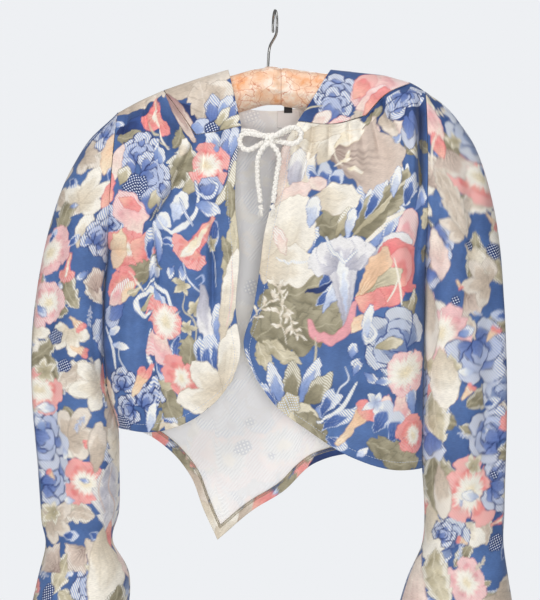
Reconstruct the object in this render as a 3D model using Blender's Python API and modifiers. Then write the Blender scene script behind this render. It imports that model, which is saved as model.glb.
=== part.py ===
"""A cropped jacket hung on a padded hanger, at real size in metres.

The origin is the point under the hook's crown that bears on a rod. The viewer stands at -Y,
+X is the viewer's right and +Z is up. Left and right are the viewer's left and right.
Every cloth piece is an open surface on the garment's own form, thickened to a wall.
"""

import math

import bmesh
import bpy
import numpy as np

# Cloth walls and seams
WALL = 0.0016
SEAM_GAP = 0.0003
RIDGE_HALF_GAP = 0.0006
YOKE_SEAM_LIFT = 0.0022
ARMHOLE_CLEARANCE = 0.0020

# How the hung body rounds over the shoulder and into its side seams
SHOULDER_DROP = 0.032
SIDE_ROUND = 0.070
SIDE_ROUND_POWER = 2.2

# Hung body at each height: (z, depth of the fronts, depth of the back)
BODY_SECTIONS = [
    (-0.650, 0.040, 0.034),
    (-0.500, 0.043, 0.036),
    (-0.400, 0.046, 0.037),
    (-0.250, 0.041, 0.034),
    (-0.140, 0.031, 0.029),
    (-0.060, 0.026, 0.026),
]

# Outlines of each half as hung, all (x, z)
LEFT = {
    "ridge_outer": [(-0.187, -0.121), (-0.161, -0.107), (-0.134, -0.095)],
    "ridge_inner": [(-0.134, -0.095), (-0.090, -0.080), (-0.056, -0.070)],
    "yoke_outer": [(-0.134, -0.095), (-0.115, -0.121), (-0.094, -0.151)],
    "yoke_lower": [(-0.094, -0.151), (-0.065, -0.146), (-0.040, -0.140)],
    "neck": [(-0.056, -0.070), (-0.048, -0.104), (-0.040, -0.140)],
    "front_edge": [
        (-0.040, -0.140), (-0.046, -0.190), (-0.047, -0.230), (-0.042, -0.288),
        (-0.046, -0.360), (-0.041, -0.410), (-0.050, -0.440),
    ],
    "hem": [(-0.186, -0.498), (-0.146, -0.501), (-0.114, -0.494), (-0.070, -0.465), (-0.050, -0.440)],
    "underarm": (-0.199, -0.286),
    "side": [(-0.199, -0.286), (-0.205, -0.340), (-0.206, -0.400), (-0.200, -0.455), (-0.186, -0.498)],
}
RIGHT = {
    "ridge_outer": [(0.179, -0.096), (0.172, -0.091), (0.163, -0.086)],
    "ridge_inner": [(0.163, -0.086), (0.131, -0.077), (0.067, -0.070)],
    "yoke_outer": [(0.163, -0.086), (0.131, -0.103), (0.108, -0.128)],
    "yoke_lower": [(0.108, -0.128), (0.070, -0.138), (0.027, -0.135)],
    "neck": [(0.067, -0.070), (0.048, -0.102), (0.027, -0.135)],
    "front_edge": [
        (0.027, -0.135), (0.009, -0.166), (0.000, -0.215), (-0.013, -0.269), (-0.018, -0.308),
        (-0.026, -0.357), (-0.037, -0.398), (-0.023, -0.437),
    ],
    "hem": [
        (0.176, -0.546), (0.142, -0.546), (0.089, -0.530), (0.039, -0.499), (0.001, -0.470), (-0.023, -0.437),
    ],
    "underarm": (0.180, -0.286),
    "side": [(0.180, -0.286), (0.179, -0.380), (0.177, -0.465), (0.176, -0.546)],
}
ARMHOLE_DEPTH = 0.038
ARMHOLE_SHARE = 0.44

# Back outlines: (x, z)
BACK_NECK = [(-0.056, -0.070), (-0.047, -0.107), (-0.011, -0.118), (0.043, -0.107), (0.067, -0.070)]
BACK_HEM_LEFT = [
    (-0.186, -0.498), (-0.158, -0.508), (-0.128, -0.529), (-0.103, -0.560), (-0.087, -0.601),
    (-0.070, -0.638),
]
BACK_HEM_RIGHT = [
    (-0.070, -0.638), (-0.026, -0.601), (0.010, -0.579), (0.046, -0.546), (0.090, -0.533), (0.140, -0.537),
    (0.176, -0.546),
]
BACK_HEM_SHARES = (0.36, 0.64)
BACK_TOP_SHARES = (0.36, 0.30, 0.34)
BACK_NECK_TURNS = (0.375, 0.645)
HEM_TURN_WIDTH = 0.011
HEM_TURN_LIFT = 0.0023
HEM_TURN_ENDS = 3
HEM_TURN_AT_SIDE = 0.95

# Folds fade over this share of their length at each end
FOLD_FADE = 0.3
# Folds as hung: (start x, start z, end x, end z, half width, height towards the viewer)
FRONT_FOLDS = {
    "left": [
        (-0.136, -0.112, -0.103, -0.154, 0.009, 0.006),
        (-0.097, -0.160, -0.145, -0.246, 0.012, 0.006),
        (-0.134, -0.262, -0.132, -0.340, 0.010, -0.005),
        (-0.070, -0.222, -0.074, -0.350, 0.015, -0.007),
        (-0.110, -0.330, -0.100, -0.470, 0.022, 0.005),
        (-0.160, -0.300, -0.158, -0.470, 0.018, -0.004),
    ],
    "right": [
        (0.055, -0.146, 0.044, -0.200, 0.008, 0.004),
        (0.074, -0.146, 0.070, -0.215, 0.008, -0.004),
        (0.092, -0.142, 0.098, -0.210, 0.009, 0.005),
        (0.116, -0.128, 0.130, -0.190, 0.010, -0.005),
        (0.140, -0.108, 0.150, -0.260, 0.012, 0.006),
        (0.060, -0.300, 0.075, -0.500, 0.028, 0.005),
        (0.130, -0.330, 0.128, -0.520, 0.020, -0.004),
    ],
}
BACK_FOLDS = [
    (-0.110, -0.180, -0.105, -0.500, 0.024, -0.005),
    (-0.020, -0.160, -0.030, -0.560, 0.030, 0.005),
    (0.060, -0.170, 0.050, -0.520, 0.026, -0.005),
    (0.125, -0.190, 0.118, -0.500, 0.022, 0.005),
]

# Sleeve rings from armhole to hem: (outer x, outer z, inner x, inner z, depth)
LEFT_SLEEVE = [
    (-0.187, -0.121, -0.1990, -0.286, 0.038),
    (-0.208, -0.141, -0.2065, -0.299, 0.039),
    (-0.230, -0.166, -0.2090, -0.318, 0.040),
    (-0.256, -0.214, -0.2100, -0.346, 0.041),
    (-0.276, -0.288, -0.2105, -0.388, 0.041),
    (-0.289, -0.380, -0.2080, -0.436, 0.040),
    (-0.290, -0.466, -0.1970, -0.487, 0.040),
    (-0.284, -0.545, -0.1890, -0.547, 0.039),
    (-0.279, -0.604, -0.1880, -0.598, 0.037),
    (-0.274, -0.636, -0.1950, -0.633, 0.034),
    (-0.284, -0.676, -0.1790, -0.674, 0.041),
    (-0.297, -0.739, -0.1830, -0.739, 0.048),
]
RIGHT_SLEEVE = [
    (0.179, -0.096, 0.1800, -0.286, 0.038),
    (0.196, -0.109, 0.1835, -0.296, 0.039),
    (0.219, -0.131, 0.1845, -0.312, 0.040),
    (0.243, -0.170, 0.1840, -0.342, 0.041),
    (0.260, -0.228, 0.1830, -0.380, 0.041),
    (0.271, -0.306, 0.1820, -0.425, 0.041),
    (0.276, -0.400, 0.1810, -0.475, 0.040),
    (0.277, -0.502, 0.1810, -0.540, 0.039),
    (0.275, -0.596, 0.1800, -0.606, 0.037),
    (0.272, -0.634, 0.1780, -0.636, 0.035),
    (0.279, -0.676, 0.1640, -0.676, 0.041),
    (0.289, -0.739, 0.1450, -0.739, 0.048),
]
# Lengthwise sleeve folds, fading over so many rings at each end
SLEEVE_FOLD_FADE = 1.5
# (angle round the sleeve in degrees, first ring, last ring, half width in degrees, height)
SLEEVE_FOLDS = [
    (60.0, 2.0, 8.5, 22.0, -0.005),
    (120.0, 3.0, 10.5, 20.0, 0.004),
    (230.0, 2.5, 9.0, 24.0, -0.005),
    (305.0, 2.0, 10.0, 20.0, 0.004),
    (90.0, 9.2, 11.5, 18.0, -0.007),
    (200.0, 9.2, 11.5, 20.0, 0.006),
    (320.0, 9.2, 11.5, 18.0, -0.006),
]

# Grid sizes: (columns, rows)
FRONT_GRID = {"left": (12, 24), "right": (15, 27)}
YOKE_GRID = (7, 7)
BACK_GRID = (20, 24)
SLEEVE_GRID = (18, 24)
FRONT_TOP_SHARES = (0.36, 0.28, 0.36)
TOP_FADE = 0.05
ROW_CROWDING = 1.4
COLUMN_CROWDING = 1.25

# Neck label and tab: (left x, right x, bottom z, top z, lift off the back)
CARE_LABEL = (0.0025, 0.0305, -0.1365, -0.1165, 0.0020)
SIZE_TAB = (0.0110, 0.0210, -0.1185, -0.1060, 0.0034)
LABEL_THICKNESS = 0.0008
LABEL_GRID = 4

# Hanger
HANGER_CENTRE_X = -0.0084
PAD_HALF_SPAN = 0.172
PAD_HALF_HEIGHT = 0.0240
PAD_HALF_DEPTH = 0.0205
PAD_TOP = -0.0645
PAD_ARM_DROP = 0.0336
PAD_ARM_REACH = 0.1625
PAD_ARM_POWER = 0.8
PAD_CROWN_ROUND = 0.010
PAD_END_POWER = 14.0
PAD_TILT = 0.0955
HOOK_WIRE = 0.0032
HOOK_RADIUS = 0.0170
HOOK_TURN = math.radians(8.0)
HOOK_STEM_TOP = (-0.0062, 0.0, -0.0420)
HOOK_ARC_START = math.radians(-40.0)
HOOK_ARC_END = math.radians(205.0)
HOOK_ARC_POINTS = 19
HOOK_POINTS = 44

# Tie cord routes: (x, y, z), and the pieces on the cord: (x, y, z, half sizes)
CORD_DIAMETER = 0.0060
TIE_ROUTES = {
    "tie_left_lead": [
        (-0.0450, -0.0271, -0.1455), (-0.0370, -0.0274, -0.1455), (-0.0270, -0.0320, -0.1470),
        (-0.0126, -0.0395, -0.1523),
    ],
    "tie_right_lead": [
        (0.0310, -0.0262, -0.1405), (0.0210, -0.0270, -0.1430), (0.0125, -0.0310, -0.1470),
        (-0.0007, -0.0388, -0.1531),
    ],
    "tie_left_loop": [
        (-0.0146, -0.0464, -0.1529), (-0.0224, -0.0438, -0.1514), (-0.0318, -0.0400, -0.1496),
        (-0.0380, -0.0385, -0.1506), (-0.0412, -0.0380, -0.1556), (-0.0408, -0.0380, -0.1628),
        (-0.0370, -0.0385, -0.1676), (-0.0310, -0.0395, -0.1690), (-0.0248, -0.0405, -0.1664),
        (-0.0190, -0.0405, -0.1632), (-0.0146, -0.0400, -0.1608),
    ],
    "tie_right_loop": [
        (0.0014, -0.0463, -0.1522), (0.0060, -0.0440, -0.1494), (0.0114, -0.0410, -0.1456),
        (0.0183, -0.0392, -0.1428), (0.0258, -0.0384, -0.1434), (0.0302, -0.0384, -0.1482),
        (0.0300, -0.0388, -0.1552), (0.0252, -0.0394, -0.1602), (0.0183, -0.0400, -0.1618),
        (0.0114, -0.0404, -0.1606), (0.0060, -0.0404, -0.1594), (0.0013, -0.0402, -0.1588),
    ],
    "tie_left_tail": [
        (-0.0104, -0.0473, -0.1632), (-0.0160, -0.0482, -0.1702), (-0.0196, -0.0460, -0.1780),
        (-0.0208, -0.0430, -0.1880), (-0.0206, -0.0415, -0.1980), (-0.0201, -0.0410, -0.2090),
        (-0.0184, -0.0410, -0.2200), (-0.0172, -0.0410, -0.2320),
    ],
    "tie_right_tail": [
        (-0.0034, -0.0459, -0.1639), (0.0016, -0.0470, -0.1702), (0.0044, -0.0462, -0.1770),
        (0.0044, -0.0446, -0.1850), (0.0026, -0.0440, -0.1935), (0.0010, -0.0440, -0.2045),
        (-0.0006, -0.0446, -0.2170), (-0.0024, -0.0450, -0.2320),
    ],
}
TIE_PIECES = {
    "tie_knot": (-0.0066, -0.0430, -0.1563, 0.0074, 0.0064, 0.0080),
    "tie_left_end": (-0.0168, -0.0410, -0.2408, 0.0042, 0.0042, 0.0084),
    "tie_right_end": (-0.0028, -0.0458, -0.2408, 0.0042, 0.0042, 0.0084),
}
CORD_POINT_SPACING = 0.0050

# Colours: (red, green, blue), roughness, metallic
FINISHES = {
    "print_cloth": ((0.07, 0.13, 0.38), 0.75, 0.0),
    "yoke_cloth": ((0.42, 0.34, 0.27), 0.75, 0.0),
    "label_white": ((0.80, 0.80, 0.78), 0.70, 0.0),
    "tab_black": ((0.02, 0.02, 0.03), 0.65, 0.0),
    "satin_peach": ((0.86, 0.50, 0.29), 0.45, 0.0),
    "cord_cream": ((0.84, 0.81, 0.72), 0.80, 0.0),
    "hook_steel": ((0.62, 0.61, 0.58), 0.30, 1.0),
}


def smooth_curve(points, fractions):
    """Points at fractions of the way along a smooth curve through the given points."""
    knots = np.asarray(points, dtype=float)
    steps = np.linalg.norm(np.diff(knots, axis=0), axis=1)
    reach = np.concatenate([[0.0], np.cumsum(steps)])
    slopes = np.gradient(knots, reach, axis=0)
    along = np.asarray(fractions) * reach[-1]
    index = np.clip(np.searchsorted(reach, along, side="right") - 1, 0, len(steps) - 1)
    width = steps[index][:, None]
    t = ((along - reach[index]) / steps[index])[:, None]
    start, end = knots[index], knots[index + 1]
    blend = t * t * (3.0 - 2.0 * t)
    lead = t * (1.0 - t) ** 2 * width * slopes[index]
    trail = t * t * (1.0 - t) * width * slopes[index + 1]
    return start + (end - start) * blend + lead - trail


def joined_curve(pieces, shares):
    """One curve through several smooth pieces, each given its share of the fractions from 0 to 1."""
    bounds = np.concatenate([[0.0], np.cumsum(shares) / np.sum(shares)])

    def at(fractions):
        fractions = np.asarray(fractions)
        result = np.zeros((len(fractions), 2))
        for piece, low, high in zip(pieces, bounds[:-1], bounds[1:]):
            inside = (fractions >= low - 1e-9) & (fractions <= high + 1e-9)
            result[inside] = smooth_curve(piece, np.clip((fractions[inside] - low) / (high - low), 0.0, 1.0))
        return result

    return at


def ridge_height(x):
    """Height of the shoulder line at x."""
    table = np.array(sorted(sum((half["ridge_outer"] + half["ridge_inner"] for half in (LEFT, RIGHT)), [])))
    return np.interp(x, table[:, 0], table[:, 1])


def hung_depth(x, z, column):
    """Distance of the hung cloth from the hanger's plane, before the sides round away."""
    table = np.array(BODY_SECTIONS)
    drop = np.clip((ridge_height(x) - z) / SHOULDER_DROP, 0.0, 1.0)
    return np.interp(z, table[:, 0], table[:, column]) * np.sqrt(1.0 - (1.0 - drop) ** 2)


def fold_height(x, z, folds):
    """Height of the listed folds at points of the hung cloth."""
    total = np.zeros_like(x)
    for start_x, start_z, end_x, end_z, half_width, height in folds:
        run = np.array([end_x - start_x, end_z - start_z])
        length = np.linalg.norm(run)
        along = ((x - start_x) * run[0] + (z - start_z) * run[1]) / length
        across = ((x - start_x) * run[1] - (z - start_z) * run[0]) / length
        reach = FOLD_FADE * length
        fade = np.clip(along / reach, 0.0, 1.0) * np.clip((length - along) / reach, 0.0, 1.0)
        total += height * np.exp(-(across / half_width) ** 2) * fade * fade * (3.0 - 2.0 * fade)
    return total


def side_edge(half, z):
    """x of the armhole and side seam of one half at each height, and the armhole's depth there."""
    top = np.array(half["ridge_outer"][0])
    under = np.array(half["underarm"])
    seam = np.array(half["side"])[::-1]
    x = np.where(
        z > under[1],
        np.interp(z, [under[1], top[1]], [under[0], top[0]]),
        np.interp(z, seam[:, 1], seam[:, 0]),
    )
    middle = 0.5 * (top[1] + under[1])
    offset = np.clip((z - middle) / (top[1] - middle), -1.0, 1.0)
    return x, ARMHOLE_DEPTH * np.sqrt(1.0 - offset ** 2)


def rounded_side(depth, edge_depth, distance):
    """Depth of the cloth at a distance from its side edge, rounding into that edge."""
    near = np.clip(distance / SIDE_ROUND, 0.0, 1.0)
    swell = (1.0 - (1.0 - near) ** SIDE_ROUND_POWER) ** (1.0 / SIDE_ROUND_POWER)
    return edge_depth + (depth - edge_depth) * swell


def crowded(count, power):
    """Fractions from 0 to 1 that crowd towards 0."""
    return np.linspace(0.0, 1.0, count) ** power


def snapped(fractions, marks):
    """The fractions with the one nearest to each mark moved onto it."""
    result = np.array(fractions)
    for mark in marks:
        result[np.argmin(np.abs(result - mark))] = mark
    return result


def patch(top, bottom, first, last, columns, rows):
    """Surface between four border curves, as rows of (x, z)."""
    u = columns[None, :, None]
    v = rows[:, None, None]
    top_row, bottom_row = top(columns)[None], bottom(columns)[None]
    first_column, last_column = first(rows)[:, None], last(rows)[:, None]
    corners = (
        (1 - u) * (1 - v) * top_row[:, :1] + u * (1 - v) * top_row[:, -1:]
        + (1 - u) * v * bottom_row[:, :1] + u * v * bottom_row[:, -1:]
    )
    return (1 - v) * top_row + v * bottom_row + (1 - u) * first_column + u * last_column - corners


def border(points):
    """A border curve through a table of points."""
    return joined_curve([points], [1.0])


def side_border(half, end=None):
    """Border curve down the armhole and side seam of one half, to the hem or to an end above it."""
    seam = half["side"]
    if end is not None:
        seam = [point for point in seam if point[1] > end[1] + HEM_TURN_LIFT] + [tuple(end)]
    armhole = [half["ridge_outer"][0], half["underarm"]]
    return joined_curve([armhole, seam], [ARMHOLE_SHARE, 1.0 - ARMHOLE_SHARE])


def front_points(half, name):
    """Points of one front: from its side seam to its front edge, and from yoke and shoulder to hem."""
    columns, rows = FRONT_GRID[name]
    top = joined_curve([half["ridge_outer"], half["yoke_outer"], half["yoke_lower"]], FRONT_TOP_SHARES)
    corners = np.cumsum(FRONT_TOP_SHARES)[:2]
    down = crowded(rows, ROW_CROWDING)
    flat = patch(
        top, border(half["hem"]), side_border(half), border(half["front_edge"]),
        snapped(crowded(columns, COLUMN_CROWDING), corners), down,
    )
    x, z = flat[..., 0], flat[..., 1]
    edge_x, edge_depth = side_edge(half, z)
    depth = rounded_side(hung_depth(x, z, 1), edge_depth, np.abs(x - edge_x))
    side_fade = np.clip(np.abs(x - edge_x) / SIDE_ROUND, 0.0, 1.0)
    top_fade = np.clip(down / TOP_FADE, 0.0, 1.0)[:, None]
    depth = depth + fold_height(x, z, FRONT_FOLDS[name]) * side_fade * top_fade
    return np.stack([x, -np.maximum(depth, RIDGE_HALF_GAP), z], axis=-1)


def yoke_points(half):
    """Points of one yoke: along the shoulder line to the neck, and down to the seam with the front."""
    columns, rows = YOKE_GRID
    flat = patch(
        border(half["ridge_inner"]), border(half["yoke_lower"]),
        border(half["yoke_outer"]), border(half["neck"]),
        np.linspace(0.0, 1.0, columns), crowded(rows, ROW_CROWDING),
    )
    towards_neck = np.sign(half["neck"][0][0] - half["yoke_outer"][0][0])
    rise = np.linspace(0.0, 1.0, rows)[:, None] * np.ones((1, columns))
    inset = np.linspace(1.0, 0.0, columns)[None, :] * np.ones((rows, 1))
    x = flat[..., 0] + towards_neck * YOKE_SEAM_LIFT * inset
    z = flat[..., 1] + YOKE_SEAM_LIFT * rise
    z = np.minimum(z, ridge_height(x))
    return np.stack([x, -np.maximum(hung_depth(x, z, 1), RIDGE_HALF_GAP), z], axis=-1)


def inward_line(line, width):
    """The line moved to its left by a width, with mitred corners."""
    steps = np.diff(line, axis=0)
    steps = steps / np.linalg.norm(steps, axis=1)[:, None]
    normals = np.stack([-steps[:, 1], steps[:, 0]], axis=1)
    before = np.concatenate([normals[:1], normals])
    after = np.concatenate([normals, normals[-1:]])
    middle = before + after
    middle = middle / np.linalg.norm(middle, axis=1)[:, None]
    return line + middle * width / np.sum(middle * after, axis=1)[:, None]


def back_points():
    """Points of the back from its left to its right side seam; its last row is the hem's fold."""
    columns, rows = BACK_GRID
    even = np.linspace(0.0, 1.0, columns)
    spread = snapped(0.5 * even + 0.25 * (1.0 - np.cos(math.pi * even)), np.cumsum(BACK_TOP_SHARES)[:2])
    spread = np.sort(np.concatenate([spread, BACK_NECK_TURNS]))
    hem = joined_curve([BACK_HEM_LEFT, BACK_HEM_RIGHT], BACK_HEM_SHARES)
    fold_line = hem(spread)
    turn_line = inward_line(fold_line, HEM_TURN_WIDTH)
    turn_line[0] = smooth_curve(LEFT["side"], [HEM_TURN_AT_SIDE])[0]
    turn_line[-1] = smooth_curve(RIGHT["side"], [HEM_TURN_AT_SIDE])[0]
    top = joined_curve(
        [
            LEFT["ridge_outer"] + LEFT["ridge_inner"][1:], BACK_NECK,
            RIGHT["ridge_inner"][::-1] + RIGHT["ridge_outer"][::-1][1:],
        ],
        BACK_TOP_SHARES,
    )
    flat = patch(
        top, lambda fractions: turn_line, side_border(LEFT, turn_line[0]), side_border(RIGHT, turn_line[-1]),
        spread, crowded(rows, ROW_CROWDING),
    )
    flat = np.concatenate([flat, fold_line[None]])
    x, z = flat[..., 0], flat[..., 1]
    left_x, left_depth = side_edge(LEFT, z)
    right_x, right_depth = side_edge(RIGHT, z)
    depth = hung_depth(x, z, 2)
    fade = np.clip((x - left_x) / SIDE_ROUND, 0.0, 1.0) * np.clip((right_x - x) / SIDE_ROUND, 0.0, 1.0)
    depth = depth - fold_height(x, z, BACK_FOLDS) * fade
    depth = rounded_side(depth, left_depth, x - left_x)
    depth = rounded_side(depth, right_depth, right_x - x)
    return np.stack([x, np.maximum(depth, RIDGE_HALF_GAP), z], axis=-1)


def sleeve_points(rings, outward):
    """Rings of one sleeve from armhole to hem; the first and last point of a ring are the same."""
    around, rows = SLEEVE_GRID
    table = np.array(rings)
    table[0, [0, 2]] += outward * ARMHOLE_CLEARANCE
    at_row = np.linspace(0.0, 1.0, rows) * (len(rings) - 1)
    ring_numbers = np.arange(len(rings))
    slopes = np.gradient(table, axis=0)
    index = np.clip(at_row.astype(int), 0, len(rings) - 2)
    t = (at_row - ring_numbers[index])[:, None]
    start, end = table[index], table[index + 1]
    sizes = (
        start + (end - start) * t * t * (3.0 - 2.0 * t)
        + t * (1.0 - t) ** 2 * slopes[index] - t * t * (1.0 - t) * slopes[index + 1]
    )
    angles = np.linspace(0.0, 2.0 * math.pi, around)
    outer, inner, depth = sizes[:, 0:2], sizes[:, 2:4], sizes[:, 4]
    centre = 0.5 * (outer + inner)
    arm = 0.5 * (outer - inner)
    swell = np.ones((rows, around))
    for angle, first, last, half_width, height in SLEEVE_FOLDS:
        turn = (np.degrees(angles) - angle + 180.0) % 360.0 - 180.0
        start_fade = np.clip((at_row - first) / SLEEVE_FOLD_FADE, 0.0, 1.0)
        fade = start_fade * np.clip((last - at_row) / SLEEVE_FOLD_FADE, 0.0, 1.0)
        swell += fade[:, None] * np.exp(-(turn / half_width) ** 2)[None, :] * height / ARMHOLE_DEPTH
    cosine, sine = np.cos(angles)[None, :] * swell, np.sin(angles)[None, :] * swell
    return np.stack(
        [
            centre[:, :1] + arm[:, :1] * cosine,
            -depth[:, None] * sine,
            centre[:, 1:] + arm[:, 1:] * cosine,
        ],
        axis=-1,
    )


def label_points(left, right, bottom, top, lift):
    """Points of a label that lies on the inside of the back."""
    x, z = np.meshgrid(np.linspace(left, right, LABEL_GRID), np.linspace(top, bottom, LABEL_GRID))
    return np.stack([x, hung_depth(x, z, 2) - lift, z], axis=-1)


def finish_material(name):
    """The material of a finish, made once."""
    material = bpy.data.materials.get(name)
    if material is None:
        colour, roughness, metallic = FINISHES[name]
        material = bpy.data.materials.new(name)
        material.use_nodes = True
        shader = material.node_tree.nodes["Principled BSDF"]
        shader.inputs["Base Color"].default_value = (*colour, 1.0)
        shader.inputs["Roughness"].default_value = roughness
        shader.inputs["Metallic"].default_value = metallic
    return material


def place(name, data, finish, collection, parent):
    """Add an object with its finish to the collection, under the parent empty."""
    item = bpy.data.objects.new(name, data)
    data.materials.append(finish_material(finish))
    item.parent = parent
    collection.objects.link(item)
    return item


def cloth(name, points, finish, collection, parent, thickness=WALL):
    """A wall of cloth through a grid of points."""
    rows, columns = points.shape[:2]
    shape = bmesh.new()
    bmesh.ops.create_grid(shape, x_segments=columns - 1, y_segments=rows - 1, size=1.0)
    for vertex in shape.verts:
        column = round((vertex.co.x + 1.0) / 2.0 * (columns - 1))
        row = round((vertex.co.y + 1.0) / 2.0 * (rows - 1))
        vertex.co = points[row, column]
    bmesh.ops.remove_doubles(shape, verts=shape.verts, dist=0.00002)
    mesh = bpy.data.meshes.new(name)
    shape.to_mesh(mesh)
    shape.free()
    mesh.shade_smooth()
    item = place(name, mesh, finish, collection, parent)
    wall = item.modifiers.new("wall", "SOLIDIFY")
    wall.thickness = thickness
    wall.offset = 0.0
    wall.use_rim = True
    wall.use_quality_normals = True
    return item


def rounded_blob(name, sizes, finish, collection, parent):
    """A closed rounded solid about a centre, from its half sizes."""
    x, y, z, half_x, half_y, half_z = sizes
    shape = bmesh.new()
    bmesh.ops.create_uvsphere(shape, u_segments=12, v_segments=8, radius=1.0)
    bmesh.ops.scale(shape, vec=(half_x, half_y, half_z), verts=shape.verts)
    bmesh.ops.translate(shape, vec=(x, y, z), verts=shape.verts)
    mesh = bpy.data.meshes.new(name)
    shape.to_mesh(mesh)
    shape.free()
    mesh.shade_smooth()
    return place(name, mesh, finish, collection, parent)


def tube(name, points, diameter, finish, collection, parent):
    """A round tube along a run of points, with closed ends."""
    curve = bpy.data.curves.new(name, "CURVE")
    curve.dimensions = "3D"
    curve.bevel_depth = diameter / 2.0
    curve.bevel_resolution = 2
    curve.use_fill_caps = True
    spline = curve.splines.new("POLY")
    spline.points.add(len(points) - 1)
    for control, point in zip(spline.points, points):
        control.co = (*point, 1.0)
    return place(name, curve, finish, collection, parent)


def pad_top(reach):
    """Height of the pad's upper line at a distance along the hanger."""
    length = math.sqrt(reach * reach + PAD_CROWN_ROUND ** 2) - PAD_CROWN_ROUND
    return PAD_TOP - PAD_ARM_DROP * (length / PAD_ARM_REACH) ** PAD_ARM_POWER + PAD_TILT * reach


def hanger_pad(collection, parent):
    """The padded arms of the hanger, as one stuffed sleeve."""
    shape = bmesh.new()
    bmesh.ops.create_uvsphere(shape, u_segments=16, v_segments=26, radius=1.0)
    for vertex in shape.verts:
        share = math.asin(max(-1.0, min(1.0, vertex.co.z))) / (0.5 * math.pi)
        ring = math.hypot(vertex.co.x, vertex.co.y)
        swell = math.sqrt(max(0.0, 1.0 - abs(share) ** PAD_END_POWER))
        across, up = (vertex.co.x / ring, vertex.co.y / ring) if ring > 1e-6 else (0.0, 0.0)
        reach = share * PAD_HALF_SPAN
        vertex.co = (
            HANGER_CENTRE_X + reach,
            PAD_HALF_DEPTH * swell * across,
            pad_top(reach) - PAD_HALF_HEIGHT + PAD_HALF_HEIGHT * swell * up,
        )
    bmesh.ops.recalc_face_normals(shape, faces=shape.faces)
    mesh = bpy.data.meshes.new("hanger_pad")
    shape.to_mesh(mesh)
    shape.free()
    mesh.shade_smooth()
    return place("hanger_pad", mesh, "satin_peach", collection, parent)


def hanger_hook(collection, parent):
    """The wire hook: a leaning stem and a crook whose crown rests on the rod."""
    crown = HOOK_WIRE / 2.0
    arc = []
    for angle in np.linspace(HOOK_ARC_START, HOOK_ARC_END, HOOK_ARC_POINTS):
        towards_viewer = HOOK_RADIUS * math.cos(angle)
        arc.append((
            towards_viewer * math.sin(HOOK_TURN),
            -towards_viewer * math.cos(HOOK_TURN),
            crown - HOOK_RADIUS + HOOK_RADIUS * math.sin(angle),
        ))
    base = (HANGER_CENTRE_X, 0.0, pad_top(0.0) + SEAM_GAP)
    route = smooth_curve([base, HOOK_STEM_TOP, *arc], np.linspace(0.0, 1.0, HOOK_POINTS))
    return tube("hanger_hook", route, HOOK_WIRE, "hook_steel", collection, parent)


def tie_cord(collection, parent):
    """The bow of cord at the neck: its stretches, its knot and its two knotted ends."""
    for name, route in TIE_ROUTES.items():
        length = np.sum(np.linalg.norm(np.diff(np.array(route), axis=0), axis=1))
        count = max(4, round(length / CORD_POINT_SPACING) + 1)
        points = smooth_curve(route, np.linspace(0.0, 1.0, count))
        tube(name, points, CORD_DIAMETER, "cord_cream", collection, parent)
    for name, sizes in TIE_PIECES.items():
        rounded_blob(name, sizes, "cord_cream", collection, parent)


def build():
    """Model every piece of the jacket and its hanger."""
    for old in list(bpy.data.objects):
        bpy.data.objects.remove(old, do_unlink=True)
    collection = bpy.data.collections.new("cropped_jacket_on_hanger")
    bpy.context.scene.collection.children.link(collection)
    rod_point = bpy.data.objects.new("rod_point", None)
    collection.objects.link(rod_point)

    sides = (("left", LEFT, LEFT_SLEEVE, -1.0), ("right", RIGHT, RIGHT_SLEEVE, 1.0))
    for name, half, rings, outward in sides:
        cloth(f"{name}_front", front_points(half, name), "print_cloth", collection, rod_point)
        cloth(f"{name}_yoke", yoke_points(half), "yoke_cloth", collection, rod_point)
        cloth(f"{name}_sleeve", sleeve_points(rings, outward), "print_cloth", collection, rod_point)
    back = back_points()
    cloth("back", back, "print_cloth", collection, rod_point)
    turned = back[-2:, HEM_TURN_ENDS:-HEM_TURN_ENDS] + np.array([0.0, -HEM_TURN_LIFT, 0.0])
    cloth("back_hem", turned, "print_cloth", collection, rod_point)
    cloth("care_label", label_points(*CARE_LABEL), "label_white", collection, rod_point, LABEL_THICKNESS)
    cloth("size_tab", label_points(*SIZE_TAB), "tab_black", collection, rod_point, LABEL_THICKNESS)

    hanger_pad(collection, rod_point)
    hanger_hook(collection, rod_point)
    tie_cord(collection, rod_point)


build()
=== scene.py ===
"""Looks of a cropped floral jacket on a padded satin hanger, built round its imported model.

Units are metres and the frame is the model's own: the viewer stands at -Y, +X is the viewer's right and
+Z is up. Left and right are the viewer's. Each piece of cloth is a thin shell on the hung garment's own
form. Its print is drawn by motif methods into point colours, and its weave is in the materials.
"""

from __future__ import annotations

import logging
import math
from collections.abc import Callable, Sequence
from dataclasses import dataclass, field
from enum import Enum
from functools import partial

import bpy
import numpy as np
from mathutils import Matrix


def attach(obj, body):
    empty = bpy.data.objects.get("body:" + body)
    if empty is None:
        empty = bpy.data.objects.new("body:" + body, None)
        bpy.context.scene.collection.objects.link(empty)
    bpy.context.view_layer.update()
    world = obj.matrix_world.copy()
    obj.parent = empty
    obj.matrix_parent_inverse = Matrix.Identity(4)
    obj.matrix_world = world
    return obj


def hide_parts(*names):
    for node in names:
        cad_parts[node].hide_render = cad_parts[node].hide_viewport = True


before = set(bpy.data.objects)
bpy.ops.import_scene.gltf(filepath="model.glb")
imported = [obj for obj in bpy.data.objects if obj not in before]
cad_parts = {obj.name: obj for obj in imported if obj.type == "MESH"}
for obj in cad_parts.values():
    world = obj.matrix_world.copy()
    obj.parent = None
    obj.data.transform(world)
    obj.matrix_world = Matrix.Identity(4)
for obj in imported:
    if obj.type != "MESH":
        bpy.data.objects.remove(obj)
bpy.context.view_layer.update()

Array = np.ndarray
Curve = Callable[[Array], Array]
Outline = tuple[tuple[float, float], ...]
Point = tuple[float, float, float]
Material = bpy.types.Material
Node = bpy.types.Node
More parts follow.
